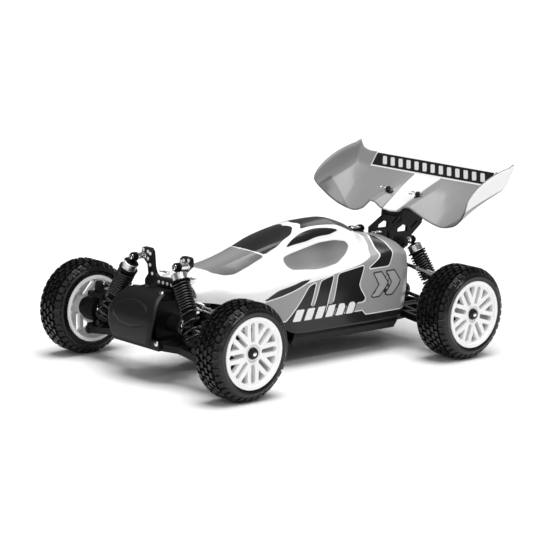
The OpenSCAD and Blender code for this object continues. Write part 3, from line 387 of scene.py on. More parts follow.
# depth below the crown and share of the outline at a block's root, chamfer and top
BLOCK_RINGS = ((TREAD_DEPTH + 0.2, 1.0), (0.4, 1.0), (0.0, 0.86))
BLOCK_SHAPES = (
    ((-.5, -.5), (.5, -.5), (.5, .5), (-.5, .5)),
    ((-.5, -.5), (.5, -.5), (.5, .12), (.16, .12), (.16, .5), (-.16, .5), (-.16, .12), (-.5, .12)),
    ((-.5, -.5), (.1, -.5), (.1, -.14), (.5, -.14), (.5, .5), (-.5, .5)),
    ((-.5, -.36), (.08, -.36), (.16, -.5), (.5, -.5), (.5, .5), (-.5, .5)),
)
MIDDLE_SHAPES = (0, 1, 2, 2, 3, 3)      # drawn from for the blocks between the two shoulders
SIDEWALL_SLOT = 1


def crown(z, w):
    """Radius of the tread at a place z across a tyre of width w."""
    return float(np.interp(min(-z, w + z), *zip(*CROWN)))


def tyre_profile(w):
    """The closed section of a tyre without its blocks: outer wall, floor, inner wall and inner bead."""
    floor = [(crown(-z, w) - TREAD_DEPTH - FLOOR_SINK, -z)
             for z in np.linspace(FLOOR_INSET, w - FLOOR_INSET, FLOOR_POINTS)]
    inner = [(r, -w - z) for r, z in reversed(TYRE_WALL[BEAD_POINTS:])]
    return [*TYRE_WALL, *floor, *inner, *((r, z - w) for r, z in INNER_BEAD)]


def tread(w, rows, rng):
    """Each block of a tread in turn, as three rings of (radius, place across, turn)."""
    pitch = (w - 2 * TREAD_INSET) / rows
    step = 2 * math.pi / TREAD_BLOCKS
    for row in range(rows):
        outer, inner = row == 0, row == rows - 1
        z0 = -TREAD_INSET - row * pitch - (0 if outer else TREAD_GAP / 2)
        z1 = -TREAD_INSET - (row + 1) * pitch + (0 if inner else TREAD_GAP / 2)
        wide, mid = z0 - z1, (z0 + z1) / 2
        long = step - TREAD_SLOT / crown(mid, w)
        for k in range(TREAD_BLOCKS):
            shape = BLOCK_SHAPES[0 if outer or inner else rng.choice(MIDDLE_SHAPES)]
            flip_u, flip_v = rng.choice((-1, 1)), rng.choice((-1, 1))
            turn = (k + 0.5 + row % 2 / 2) * step
            rings = []
            for drop, grow in BLOCK_RINGS:
                spots = [(mid + v * flip_v * wide * grow, turn + u * flip_u * long * grow) for u, v in shape]
                rings.append([(crown(z, w) - drop, z, t) for z, t in spots])
            yield rings


def tyre(end, side):
    """A tyre with its tread blocks, its outer wall glossier than the rest."""
    w = TYRE_W[end]
    centre = end_at(end, 0, 0, 0)
    verts = []

    def put(r, z, turn):
        """Adds a point of the tyre and gives its number."""
        y = SIDES[side] * (LIP_Y[end] + z)
        verts.append(centre + Vector((r * math.sin(turn), y, r * math.cos(turn))) * MM)
        return len(verts) - 1

    profile = tyre_profile(w)
    for k in range(TYRE_TURNS):
        for r, z in profile:
            put(r, z, 2 * math.pi * k / TYRE_TURNS)
    n = len(profile)
    faces = grid(TYRE_TURNS, n, True, True)
    for block_rings in tread(w, TREAD_ROWS[end], random.Random(TREAD_SEED[end])):
        rings = [[put(*p) for p in ring] for ring in block_rings]
        m = len(rings[0])
        for a, b in zip(rings, rings[1:]):
            faces += [(a[i], a[(i + 1) % m], b[(i + 1) % m], b[i]) for i in range(m)]
        faces.append(tuple(rings[-1]))
    obj = piece(f"{end}_tyre_tread_{side}", verts, faces, RUBBER, f"{end}_wheel_{side}")
    obj.data.materials.append(SIDEWALL)
    for face in obj.data.polygons[:TYRE_TURNS * n]:
        if face.index % n < len(TYRE_WALL) - 1:
            face.material_index = SIDEWALL_SLOT
    tidy(obj, TREAD_SMOOTH_DEG)
    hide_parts(f"{end}_tyre_{side}")


def wheel_nut(end, side):
    """A flanged lock nut on the end of the axle, with the axle's bright tip in it."""
    sg = SIDES[side]
    low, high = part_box(f"{end}_axle_{side}")
    tip = Vector(((low[0] + high[0]) / 2, (high if sg > 0 else low)[1], (low[2] + high[2]) / 2))
    axis, body = Vector((0, sg, 0)), f"{end}_wheel_{side}"
    nut = [(2.1, -2.6), (5.2, -2.6), (5.2, -1.7), (4.5, -1.4), (4.3, 0.2), (3.6, 0.7), (2.6, 0.8), (2.1, 0.2)]
    lathe(f"{end}_wheel_nut_{side}", nut, tip, axis, DARK_STEEL, body, 32)
    end_cap = [(0.0, -2.4), (2.05, -2.4), (2.05, 0.7), (1.5, 1.1), (0.0, 1.2)]
    lathe(f"{end}_axle_tip_{side}", end_cap, tip, axis, STEEL, body, 24)


# Springs and shocks

# foot eye and top eye of a shock, each as (outward from the axle, across, height)
SHOCK = {"front": ((12.5, 67.2, -6.51), (6.8, 30.0, 59.3)), "rear": ((17.5, 64.0, -1.53), (2.5, 35.0, 57.0))}
SPRING_R = 7.5
WIRE_R = 0.9
SEAT_TOP = 8.5         # from the foot eye up to the spring's seat
FLANGE_DROP = 14.0     # from the top eye down to the flange above the spring
CURLS = 14
CLOSE_CURLS = 10       # how many of them, at the top, stand close
CLOSE_PITCH = 2.5
END_RISE = 3.15        # rise of the first curl and of the last
CURL_STEPS = 32
WIRE_RING = 10


def shock_line(end, side):
    """The places of a shock's foot eye and top eye."""
    return [end_at(end, x, SIDES[side] * y, h) for x, y, h in SHOCK[end]]


def spring_rise(t, span):
    """Height of the wire's middle after t curls, in mm above the seat."""
    rise = span - 2 * WIRE_R
    knots = ((0, 0), (1, END_RISE), (CURLS - CLOSE_CURLS, rise - CLOSE_CURLS * CLOSE_PITCH),
             (CURLS - 1, rise - END_RISE), (CURLS, rise))
    return WIRE_R + float(np.interp(t, *zip(*knots)))


def spring(end, side):
    """A coil spring, and the two places that it is stretched between."""
    foot, top = shock_line(end, side)
    axis, a, b = frame_of(top - foot)
    span = (top - foot).length / MM - FLANGE_DROP - SEAT_TOP
    rings = CURLS * CURL_STEPS + 1
    verts = []
    for i in range(rings):
        t = i / CURL_STEPS
        out = a * math.cos(2 * math.pi * t) + b * math.sin(2 * math.pi * t)
        p = foot + (out * SPRING_R + axis * (SEAT_TOP + spring_rise(t, span))) * MM
        for k in range(WIRE_RING):
            g = 2 * math.pi * k / WIRE_RING
            verts.append(p + (out * math.cos(g) + axis * math.sin(g)) * WIRE_R * MM)
    obj = piece(f"{end}_coil_{side}", verts, tube(rings, WIRE_RING), SPRING, None)
    tidy(obj, WIRE_SMOOTH_DEG)
    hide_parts(f"{end}_spring_{side}")
    return obj, foot + axis * SEAT_TOP * MM, top - axis * FLANGE_DROP * MM


def shock_trim(end, side):
    """The bright collar and the black cap at the top of a shock."""
    foot, top = shock_line(end, side)
    axis = (foot - top).normalized()
    body = f"{end}_shock_{side}"
    collar = [(6.3, 5.9), (6.7, 6.0), (7.0, 6.3), (7.0, 7.0), (6.65, 7.2), (6.65, 12.0), (6.9, 12.2),
              (6.9, 12.45), (6.3, 12.48)]
    lathe(f"{end}_shock_collar_{side}", collar, top, axis, SILVER, body)
    cap = [(2.6, 4.4), (4.4, 5.1), (5.8, 5.6), (6.4, 5.75), (6.4, 6.6), (2.6, 6.6)]
    lathe(f"{end}_shock_cap_{side}", cap, top, axis, DEEP_BLACK, body)


# Body shell

# x, then (half width, height) of the lower edge, shoulder, cockpit's foot and roof's edge, then the top
BODY = (
    (122, (29, 26), (29, 33), (23, 38.5), (12, 40.3), 41),
    (100, (33, 22.5), (34, 34.5), (26, 42.5), (14, 46.5), 47.5),
    (80, (36, 18.5), (39, 30.5), (26, 42.5), (14, 50), 51.5),
    (60, (40, 8.5), (43, 30.5), (27, 43.5), (15, 54.5), 56.5),
    (42, (46, -1.5), (46, 33.5), (29, 44.5), (17, 59.5), 62),
    (20, (51.5, -11), (49, 38.5), (33, 44.5), (21, 65.5), 69.5),
    (0, (52, -11.5), (49, 39.5), (36, 43.5), (23, 69.5), 75.2),
    (-25, (52, -11.5), (48, 40.5), (37, 43.5), (24, 73.5), 79.5),
    (-50, (52, -11.5), (47, 43.5), (36, 46.5), (23, 74), 80.5),
    (-75, (52, -11.5), (46, 46.5), (33, 49.5), (20, 67.5), 74.2),
    (-95, (51.6, -11.3), (45, 48.5), (28, 53.5), (14, 59.5), 62.5),
    (-110, (51.4, -11), (44, 49.5), (30, 55.5), (14, 59), 59.5),
    (-126, (45, -8), (42, 46.5), (30, 53.5), (14, 56.5), 57.5),
)
BODY_SLICES = 220
WALL_BULGE = 0.5             # how far the side wall stands out, half-way up
ROOF_SHARES = (0.25, 0.5, 0.75, 1.0)      # places of the roof's points, from its edge to the middle
SLICE_CUTS = (14, 3.0, 6.0, 12.0, 3, 3, 3)      # rounding of a slice's corners, from the lower edge up
SLICE_COUNTS = (8, 8, 10, 10, 4, 3, 3, 3)       # points along its stretches
TAIL_RAKE = 5.0              # how far the foot of the tail leans forward
RAKE_X = (-100, -126)        # where the lean begins and where it is full
RAKE_H = (30, -8)
SHELL_T = 1.2


def ramp(v, start, stop):
    """Goes from 0 at the start to 1 at the stop."""
    return np.clip((v - start) / (stop - start), 0, 1)


def curve_through(xs, ys, x):
    """A smooth curve through points in rising order, without overshoot."""
    xs, ys = np.asarray(xs, float), np.asarray(ys, float)
    h, d = np.diff(xs), np.diff(ys) / np.diff(xs)
    slope = np.zeros(len(xs))
    slope[0], slope[-1] = d[0], d[-1]
    for i in range(1, len(xs) - 1):
        if d[i - 1] * d[i] > 0:
            w1, w2 = 2 * h[i] + h[i - 1], h[i] + 2 * h[i - 1]
            slope[i] = (w1 + w2) / (w1 / d[i - 1] + w2 / d[i])
    k = np.clip(np.searchsorted(xs, x) - 1, 0, len(h) - 1)
    t = (x - xs[k]) / h[k]
    return ((1 + 2 * t) * (1 - t) ** 2 * ys[k] + t * (1 - t) ** 2 * h[k] * slope[k]
            + t * t * (3 - 2 * t) * ys[k + 1] + t * t * (t - 1) * h[k] * slope[k + 1])


def bent(points, cuts, counts):
    """An open polyline with rounded corners, each stretch sampled a fixed number of times."""
    points = [np.array(p, float) for p in points]
    out = []
    start = points[0]
    for i in range(1, len(points) - 1):
        a, b = corner(*points[i - 1:i + 2], cuts[i - 1], LINE_SHARE)
        out += stretch(start, a, counts[i - 1])
        out += [corner_point(a, points[i], b, k / CURVE_STEPS) for k in range(CURVE_STEPS)]
        start = b
    return out + stretch(start, points[-1], counts[-1]) + [points[-1]]


def stretch(start, goal, count):
    """Points from the start up to the goal, without the goal."""
    return [start + (goal - start) * k / count for k in range(count)]


def shell_slice(values):
    """Half an outline of the body, from its lower edge up to the middle of the roof."""
    *sides, top = values
    low, shoulder, foot, edge = zip(sides[::2], sides[1::2])
    middle = (max(low[0], shoulder[0]) + WALL_BULGE, (low[1] + shoulder[1]) / 2)
    roof = [(edge[0] * (1 - f), edge[1] + (top - edge[1]) * (1 - (1 - f) ** 2)) for f in ROOF_SHARES]
    return bent([low, middle, shoulder, foot, edge, *roof], SLICE_CUTS, SLICE_COUNTS)


def polygon_gap(points, shape):
    """Signed distance from 2-D points to a closed polygon, below nought inside."""
    shape = np.asarray(shape, float)
    best = np.full(len(points), 1e9)
    inside = np.zeros(len(points), bool)
    for a, b in zip(shape, np.roll(shape, -1, axis=0)):
        e, w = b - a, points - a
        t = np.clip((w @ e) / (e @ e), 0, 1)
        best = np.minimum(best, np.linalg.norm(w - np.outer(t, e), axis=1))
        cross = (a[1] <= points[:, 1]) != (b[1] <= points[:, 1])
        lean = (b[0] - a[0]) * (points[:, 1] - a[1]) / np.where(b[1] == a[1], 1e-9, b[1] - a[1]) + a[0]
        inside ^= cross & (points[:, 0] < lean)
    return np.where(inside, -best, best)


def nearest(points, shapes):
    """Signed distance from 2-D points to the nearest of several polygons."""
    return np.minimum.reduce([polygon_gap(points, s) for s in shapes])


def row_of(outline, step, count):
    """Copies of an outline, each a step further back."""
    return [[(x - step * k, h) for x, h in outline] for k in range(count)]


def set_layer(obj, name, values):
    """Keeps a value for each point of a piece, for its paint."""
    layer = obj.data.attributes.new(name, "FLOAT", "POINT")
    layer.data.foreach_set("value", np.asarray(values, np.float32))


# Painted shapes: windows and side shapes as (x, height), the windscreen and roof blades as (x, half width)
SIDE_WINDOW = ((19.5, 54), (18.5, 47), (15, 43.3), (0, 42.6), (-10, 41.8), (-25, 42.4), (-40, 44.4),
               (-54, 51), (-61.5, 58), (-58, 62), (-44, 64.5), (-24, 64), (-4, 60), (10, 57))
WINDSCREEN = ((98, -1), (97, 8), (95, 18), (86, 23.5), (74, 24.5), (61, 22.8), (48, 21.8), (36, 21.5),
              (43, 17), (46, 8), (47, -1))
ROOF_BLADES = (((46, -1), (43, 16), (36, 21), (20, 22), (0, 18), (-10, 9), (-6, -1)),
               ((14, 24.5), (-12, 26.3), (-40, 25.6), (-54, 23.6), (-30, 20.4), (-8, 20.8)),
               ((-15, -1), (-20, 9), (-12, 16), (-40, 17.4), (-62, 20), (-76, 19.5), (-86, 10), (-90, -1)))
PANEL = ((60, 9), (56, 20), (34, 27), (10, 33), (-12, 35.5), (-60, 42.5), (-80, 48), (-92, 55), (-99, 63),
         (-101, 75), (-128, 75), (-128, -12), (44, -12))
DARK_SHAPES = (((58, 20), (40, 29.5), (14, 36), (2, 36.5), (16, 31), (38, 24)),
               ((36, -4), (22, 12), (6, 30), (-3, 33), (4, 16), (14, -4)),
               ((8, -4), (0, 14), (-9, 33.5), (-26, 37), (-18, 20), (-14, 8), (-12, -4)),
               ((-22, 9), (-32, 37.5), (-66, 41.5), (-56, 24), (-66, 9)),
               ((-71, 38), (-88, 46.5), (-103, 59), (-112, 60), (-104, 47), (-98, 38)))
SILL = ((48, -13), (39, 0.5), (-60, 0.5), (-65, -4), (-126, -4), (-126, -13))
LOW_BARS = row_of(((26, 0), (21.5, 10.5), (12.5, 10.5), (17, 0)), 13, 6)
CHEVRONS = row_of(((-72, 12), (-83, 22.5), (-77, 33), (-87, 33), (-94, 22.5), (-82, 12)), 17, 2)
PANE_ROUND = 5               # rounding of the corners of the painted shapes
SHAPE_ROUND = 3
BLADE_ROUND = 4
GLASS_EDGE = 1.0             # width of the pale lines round them
TRIM_EDGE = 0.9
BAR_EDGE = 1.2               # width of the dark line round a bar
AWAY = 50.0                  # added to the distance from a shape where it mustn't show
SIDE_OUT = 40                # the side of the body is further out than this
TAIL_X = -80                 # and all that is behind this
CAB_OUT = (20, 47)
ROOF_H = 52
SCREEN_X = 30                # the windscreen is before this and fades across, the side windows upward; each fade is a painted reflection on the dark glass
SCREEN_REFLECTION = (6, 18)        # start and length of the fades
PANE_REFLECTION = (42, 30)
# axis, strength and length of the waves in the painted reflection on the side windows
REFLECTION_WAVES = ((0, 0.12, 6.5), (2, 0.1, 3.1))
CHEVRON_FADE = (-50, -80)
SHEET_GLOSS = {"rough": 0.3, "coat_rough": 0.12, "specular": 0.25, "grain_mm": 1.5, "grain": 0.004}


def paint_body(obj, pts):
    """The generic livery of the body, from distances to its painted shapes."""
    x, out, h = pts[:, 0], np.abs(pts[:, 1]), pts[:, 2]
    side, plan = np.column_stack((x, h)), np.column_stack((x, out))
    on_side = np.where((out > SIDE_OUT) | (x < TAIL_X), 0.0, AWAY)
    on_cab = np.where((out > CAB_OUT[0]) & (out < CAB_OUT[1]), 0.0, AWAY)
    on_roof = np.where(h > ROOF_H, 0.0, AWAY)
    pane = polygon_gap(side, rounded(SIDE_WINDOW, PANE_ROUND)) + on_cab
    window = np.minimum(polygon_gap(plan, rounded(WINDSCREEN, SHAPE_ROUND)), pane)
    set_layer(obj, "glass_edge", window - GLASS_EDGE)
    set_layer(obj, "glass", window)
    # The lighter, wavy end of the glass fade is a painted reflection, low on the side windows and in the
    # middle of the windscreen; the dark end is the glass's own tint
    reflection_wave = sum(strength * np.sin(pts[:, way] / length) for way, strength, length in REFLECTION_WAVES)
    across, upward = (out - SCREEN_REFLECTION[0]) / SCREEN_REFLECTION[1], (h - PANE_REFLECTION[0]) / PANE_REFLECTION[1] + reflection_wave
    set_layer(obj, "glass_fade", np.clip(np.where(x > SCREEN_X, across, upward), 0, 1))
    set_layer(obj, "panel", polygon_gap(side, rounded(PANEL, PANE_ROUND)) + on_side)
    bars = nearest(side, LOW_BARS + CHEVRONS) + on_side
    shapes = nearest(side, [rounded(s, SHAPE_ROUND) for s in DARK_SHAPES] + [SILL]) + on_side
    roof = nearest(plan, [rounded(s, BLADE_ROUND) for s in ROOF_BLADES]) + on_roof
    set_layer(obj, "trim", np.minimum(shapes, roof) - TRIM_EDGE)
    set_layer(obj, "dark", np.minimum.reduce([shapes, roof, bars - BAR_EDGE]))
    set_layer(obj, "bars", bars)
    set_layer(obj, "bars_fade", ramp(x, *CHEVRON_FADE))
    # The glass layer goes from a painted reflection (0.26) to the dark tint of the glass (0.1)
    obj.data.materials[0] = livery("body_paint", grey(0.9), (
        ("panel", grey(0.3)), ("trim", grey(0.82)), ("dark", grey(0.01)), ("bars", (grey(0.8), grey(0.36))),
        ("glass_edge", grey(0.8)), ("glass", (grey(0.26), grey(0.1)))),
        coat=0.25, tint=0.015, tint_mm=60, **SHEET_GLOSS)


def body_shell():
    """The thin moulded body, its slices worked out from the stations."""
    stations = sorted(BODY)
    xs = [s[0] for s in stations]
    table = np.array([[*s[1], *s[2], *s[3], *s[4], s[5]] for s in stations], float)
    rows = []
    for x in np.linspace(BODY[0][0], BODY[-1][0], BODY_SLICES):
        half = shell_slice([curve_through(xs, values, x) for values in table.T])
        full = half + [(-y, h) for y, h in reversed(half[:-1])]
        rake = TAIL_RAKE * ramp(x, *RAKE_X)
        rows.append([(x + rake * ramp(h, *RAKE_H), y, h) for y, h in full])
    pts = np.array([p for row in rows for p in row])
    faces = grid(len(rows), len(rows[0]))
    obj = piece("body_skin", [at(*p) for p in pts], faces, None, "chassis")
    paint_body(obj, pts)
    skin(obj, SHELL_T)
    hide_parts("body_shell")


def skin(obj, thick, back_look=0):
    """Gives a sheet its thickness, inward, with another material on its back if there is one."""
    solid = obj.modifiers.new("thickness", "SOLIDIFY")
    solid.thickness = thick * MM
    solid.offset = -1
    solid.use_even_offset = False
    solid.material_offset = back_look


# Wing

FOLD = (-196, 108.5)         # of the flat middle of the wing
REAR = (-205, 122.5)
# across, then (x, height) of the leading edge, fold and rear edge, and how far the line between arches up
WING = (
    (0, (-145, 79.5), FOLD, REAR, 0),
    (12, (-144.5, 81), FOLD, REAR, 0),
    (20, (-143, 86), FOLD, REAR, 0),
    (26, (-143, 86.5), FOLD, REAR, 0),
    (33, (-146, 82.5), FOLD, REAR, 0),
    (45, (-150.5, 75.5), FOLD, REAR, 0),
    (60, (-153, 71.5), FOLD, REAR, 0),
    (75, (-151.5, 74.5), FOLD, REAR, 0),
    (88, (-148, 81.5), FOLD, REAR, 0),
    (97, (-143.5, 90), (-196.2, 109.5), (-204.9, 124.5), 0),
    (100.4, (-141.5, 93.5), (-196.7, 114), (-204.6, 127.5), 7),
    (102.4, (-140, 97), (-197.5, 130), (-204, 132.9), 22),
)
WING_T = 1.6
FLAT_HALF, FLAT_POINTS = 96, 81      # half the flat middle, and the points across it
PLATE_POINTS = 13            # points across an end plate
FOLD_ROUND = 4.0
WING_COUNTS = (40, 9)        # points before and after the fold
PLATE_Y = 99.0               # where the end plates begin, across the wing
STRIPE_HALF, STRIPE_SPREAD = 9, 0.3      # the white stripe at its foot, and how it widens upward
STRIPE_H, STRIPE_RISE = 80, 50
CORNER_Y, CORNER_SLOPE = 66, 0.55        # the darker corners by the end plates: a plain patch that is also painted shade at the foot of each plate
BAND = (110.2, 121.6)        # lower and upper height of the dark band under the rear edge
BAND_HALF = 79
BAND_EDGE = 1.2
BAR_PITCH = 11               # of the plain bars in the band
BAR_LEAN = 0.7
BAR_HALF = 0.26              # half width, as a share of the pitch
BAR_INSET = 2.0
MIDDLE_BAR, BARS_ASIDE = 7, 6
WING_BACK = 1                # slot of the material on the wing's back


def paint_wing(obj, pts, lead):
    """The generic livery of the wing, from distances to its painted shapes."""
    x, y, h = pts.T
    out = np.abs(y)
    set_layer(obj, "stripe", out - (STRIPE_HALF + STRIPE_SPREAD * np.clip(h - STRIPE_H, 0, STRIPE_RISE)))
    set_layer(obj, "plate", PLATE_Y - out)
    band = np.maximum.reduce([BAND[0] - h, h - BAND[1], out - BAND_HALF])
    set_layer(obj, "edge", band - BAND_EDGE)
    set_layer(obj, "band", band)
    count, place = np.divmod(y + BAR_LEAN * h, BAR_PITCH)
    bars = np.maximum(np.abs(place - BAR_PITCH / 2) - BAR_HALF * BAR_PITCH, band + BAR_INSET)
    set_layer(obj, "bars", np.where(np.abs(count - MIDDLE_BAR) <= BARS_ASIDE, bars, BAR_PITCH))
    # The corner layer is a darker patch, and partly painted shade at the foot of each end plate
    set_layer(obj, "corner", np.maximum(lead - x - CORNER_SLOPE * (out - CORNER_Y), out - PLATE_Y))
    gloss = {"coat": 0.15, "tint": 0.05, "tint_mm": 50, **SHEET_GLOSS}
    obj.data.materials[0] = livery("wing_paint", grey(0.27), (
        ("stripe", grey(0.85)), ("corner", grey(0.14)), ("edge", grey(0.8)), ("band", grey(0.012)),
        ("bars", grey(0.7))), **gloss)
    obj.data.materials.append(livery("wing_back", grey(0.2), (("plate", grey(0.86)),), **gloss))


def wing():
    """The folded wing with its turned-up end plates."""
    across = [w[0] for w in WING]
    table = np.array([[*w[1], *w[2], *w[3], w[4]] for w in WING], float)
    plate = np.linspace(FLAT_HALF, across[-1], PLATE_POINTS)
    outs = np.concatenate((np.linspace(0, FLAT_HALF, FLAT_POINTS), plate[1:]))
    rows = []
    for y in np.concatenate((-outs[:0:-1], outs)):
        *edges, arch = [float(curve_through(across, values, abs(y))) for values in table.T]
        lead, fold, rear = zip(edges[::2], edges[1::2])
        line = bent((lead, fold, rear), (FOLD_ROUND,), WING_COUNTS)
        on = [float(ramp(x, lead[0], fold[0])) for x, h in line]
        rows.append([(x, y, h + arch * math.sqrt(f) * (1 - f)) for (x, h), f in zip(line, on)])
    pts = np.array([p for row in rows for p in row])
    faces = [(a, d, c, b) for a, b, c, d in grid(len(rows), len(rows[0]))]
    obj = piece("wing_skin", [at(*p) for p in pts], faces, None, "chassis")
    paint_wing(obj, pts, np.array([row[0][0] for row in rows for p in row]))
    skin(obj, WING_T, WING_BACK)
    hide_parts("wing")


# Bumper

# the bumper's bow from its top edge down, as (outward from the front axle, height)
BOW = ((15.5, 35.5), (25.5, 28.5), (31.5, 19.5), (33.8, 12), (34.5, 4), (33.8, -3), (32.8, -7))
BUMPER_HALF = ((-12, 23), (-6, 25.5), (8, 29.5), (16, 30.5), (25, 28), (36, 23))      # half width at a height
BUMPER_T = 2.4
BUMPER_ROWS, BUMPER_COLUMNS = 72, 81
SLOPE_STEP = 1e-3            # share of the bow over which its slope is taken
EDGE_W, EDGE_ROLL = 3.0, 1.6      # the rolled side edges: width and depth
BOSS_H = 16.5                # the raised oval: height of its middle
BOSS_HALF = (22.5, 10.0)     # half width and half height
BOSS_RISE = 1.2
BOSS_SIDE = (0.9, 1.06)      # where its rise ends, as shares of the oval
BOSS_SINK = 0.6              # share of the rise by which the whole face is set back


def bow_at(f):
    """(Outward, height) of the bow at a share of its way down."""
    places = np.linspace(0, 1, len(BOW))
    return np.array([float(curve_through(places, values, f)) for values in np.array(BOW).T])


def bumper():
    """The bowed shield in front, with a raised oval on its face."""
    verts = []
    for f in np.arange(BUMPER_ROWS) / (BUMPER_ROWS - 1):
        x, h = bow_at(f)
        tx, th = bow_at(min(1, f + SLOPE_STEP)) - bow_at(max(0, f - SLOPE_STEP))
        normal = Vector((-th, 0, tx)).normalized()
        half = float(curve_through(*zip(*BUMPER_HALF), h))
        for j in range(BUMPER_COLUMNS):
            y = half * (2 * j / (BUMPER_COLUMNS - 1) - 1)
            off = ramp(math.hypot(y / BOSS_HALF[0], (h - BOSS_H) / BOSS_HALF[1]), *BOSS_SIDE)
            rise = BOSS_RISE * (1 - off ** 2 * (3 - 2 * off))
            roll = EDGE_ROLL * (1 - min(half - abs(y), EDGE_W) / EDGE_W) ** 2
            p = Vector((x, y, h)) + normal * (rise - roll - BOSS_RISE * BOSS_SINK)
            verts.append(end_at("front", *p))
    faces = grid(BUMPER_ROWS, BUMPER_COLUMNS)
    obj = piece("bumper_shell", verts, faces, SATIN_BLACK, "chassis")
    skin(obj, BUMPER_T)
    return obj


def block(name, lo, hi, edge, look, body):
    """A block with rounded edges, between two corners in the row's metres."""
    corners = [(x, y, z) for x in sorted((lo[0], hi[0])) for y in sorted((lo[1], hi[1]))
               for z in sorted((lo[2], hi[2]))]
    faces = [(0, 1, 3, 2), (4, 6, 7, 5), (0, 4, 5, 1), (2, 3, 7, 6), (0, 2, 6, 4), (1, 5, 7, 3)]
    obj = piece(name, corners, faces, look, body)
    soften(obj, edge, segments=3)


HARD_EDGE_DEG = 38


def soften(obj, width, segments=2):
    """Rounds the hard edges of a piece or a CAD node."""
    bevel = obj.modifiers.new("edges", "BEVEL")
    bevel.width = width * MM
    bevel.segments = segments
    bevel.limit_method = "ANGLE"
    bevel.angle_limit = math.radians(HARD_EDGE_DEG)
    bevel.harden_normals = True


def wire(name, points, radius, look, body, ring=8):
    """A round wire through points."""
    pts = [Vector(p) for p in points]
    verts = []
    side = None
    for i, p in enumerate(pts):
        d = (pts[min(i + 1, len(pts) - 1)] - pts[max(i - 1, 0)]).normalized()
        side = frame_of(d)[1] if side is None else (side - d * side.dot(d)).normalized()
        other = d.cross(side)
        for t in np.arange(ring) * 2 * math.pi / ring:
            verts.append(p + (side * math.cos(t) + other * math.sin(t)) * radius * MM)
    obj = piece(name, verts, tube(len(pts), ring), look, body)
    tidy(obj, WIRE_SMOOTH_DEG)


# Trim

TOWER_FACE = {"front": -4.8, "rear": -6.5}      # outward from the axle
# holes of a tower and inner ends of the upper links, as (across, height)
TOWER_HOLES = {"front": ((31.3, 64.3), (24.8, 63.4), (21.6, 62), (24.7, 57), (21.5, 51.8), (18.4, 44.5),
                         (8.7, 38.6), (2.9, 38.6)),
               "rear": ((31, 57.5), (27, 55), (38, 54.6), (24, 47), (14, 44), (8, 46))}
LINK_IN = {"front": (24, 31), "rear": (18, 36)}
LINK_SCREW_OUT = 6.0         # from the tower's face to the head of a link's screw
EYE_HALF = 2.0               # half the thickness of a shock's eye
EYE_BACK, EYE_FRONT = 0.55, 0.45      # from the eye to the standoff behind it and the screw before it
HOLE_R = 1.3
SHOCK_SCREW_R, LINK_SCREW_R, BUMPER_SCREW_R = 2.75, 2.6, 2.4
# bumper: places beside the front axle, and the way that its upper screws face
FOOT_LOW, FOOT_HIGH, FOOT_EDGE = (26.6, -16, -7), (32, 16, -3), 0.8
TOP_SCREW, TOP_SCREW_WAY = (16.2, 21.0, 35.4), Vector((0.57, 0, 0.82))
HINGE_SCREW = (26.6, 28.4, -6.6)
# body clips: place of the left one as (x, across) and height
FRONT_CLIP, FRONT_CLIP_H = (119.5, 20), 44.5
REAR_CLIP, REAR_CLIP_H = (-113, 13), 63.5
CLIP_LEG = 4.2               # half the straight leg
CLIP_LOOP = (2.2, 1.8)       # length and half width of the loop
CLIP_FREE, CLIP_WAVE = 7, 1.2      # length of the free leg and depth of its wave
CLIP_R = 0.6
WING_BUTTON = (-163.3, 19.9, 94.2)
WING_UP = Vector((0.49, 0, 0.87))      # square to the wing
WING_BACKWARD = Vector((-0.87, 0, 0.49))
WING_CLIP_H = 2.4            # above the wing
WING_CLIP_LEG = (-7.0, -5.0, -2.5, 0.0, 2.5, 4.5)      # places along the straight leg
WING_CLIP_LOOP = (7.2, 2.7)      # place and radius of the loop
WING_CLIP_SHIFT, WING_CLIP_CLIMB = 0.4, 0.8
WING_CLIP_R = 0.55


def screw(name, place, axis, r, look):
    """A button-head screw of the chassis with a hexagon socket, standing on a face."""
    head = [(0.0, -1.0), (r * 0.55, -1.0), (r * 0.55, 0.0), (r, 0.0), (r, r * 0.25), (r * 0.86, r * 0.52),
            (r * 0.62, r * 0.66), (r * 0.46, r * 0.68), (r * 0.42, r * 0.5), (r * 0.42, r * 0.2),
            (0.0, r * 0.15)]
    lathe(name, head, place, axis, look, "chassis", 24)


def eyelet(name, place, axis, r):
    """A bright plug in a hole of a tower."""
    plug = [(0.0, -0.9), (r, -0.9), (r, 0.0), (r + 0.3, 0.0), (r + 0.3, 0.2), (r - 0.1, 0.45), (0.0, 0.55)]
    lathe(name, plug, place, axis, BUTTON, "chassis", 24)


def tower_trim(end):
    """Standoffs, screws and eyelets of a shock tower."""
    out = Vector((OUTWARD[end], 0, 0))
    face = TOWER_FACE[end]
    x, y, h = SHOCK[end][1]
    sleeve = x - EYE_HALF - EYE_BACK - face
    standoff = [(2.5, 0.1), (3.5, 0.1), (3.5, 0.9), (3.0, 1.3), (3.0, sleeve - 1.3), (3.4, sleeve - 0.9),
                (3.4, sleeve - 0.1), (2.5, sleeve)]
    for side, sg in SIDES.items():
        foot = end_at(end, face, sg * y, h)
        lathe(f"{end}_shock_standoff_{side}", standoff, foot, out, STEEL, "chassis")
        tip = end_at(end, x + EYE_HALF + EYE_FRONT, sg * y, h)
        screw(f"{end}_shock_screw_{side}", tip, out, SHOCK_SCREW_R, STEEL)
        link = end_at(end, face + LINK_SCREW_OUT, sg * LINK_IN[end][0], LINK_IN[end][1])
        screw(f"{end}_link_screw_{side}", link, out, LINK_SCREW_R, DARK_STEEL)
        for k, (hole_y, hole_h) in enumerate(TOWER_HOLES[end]):
            eyelet(f"{end}_tower_eyelet_{side}_{k}", end_at(end, face, sg * hole_y, hole_h), out, HOLE_R)


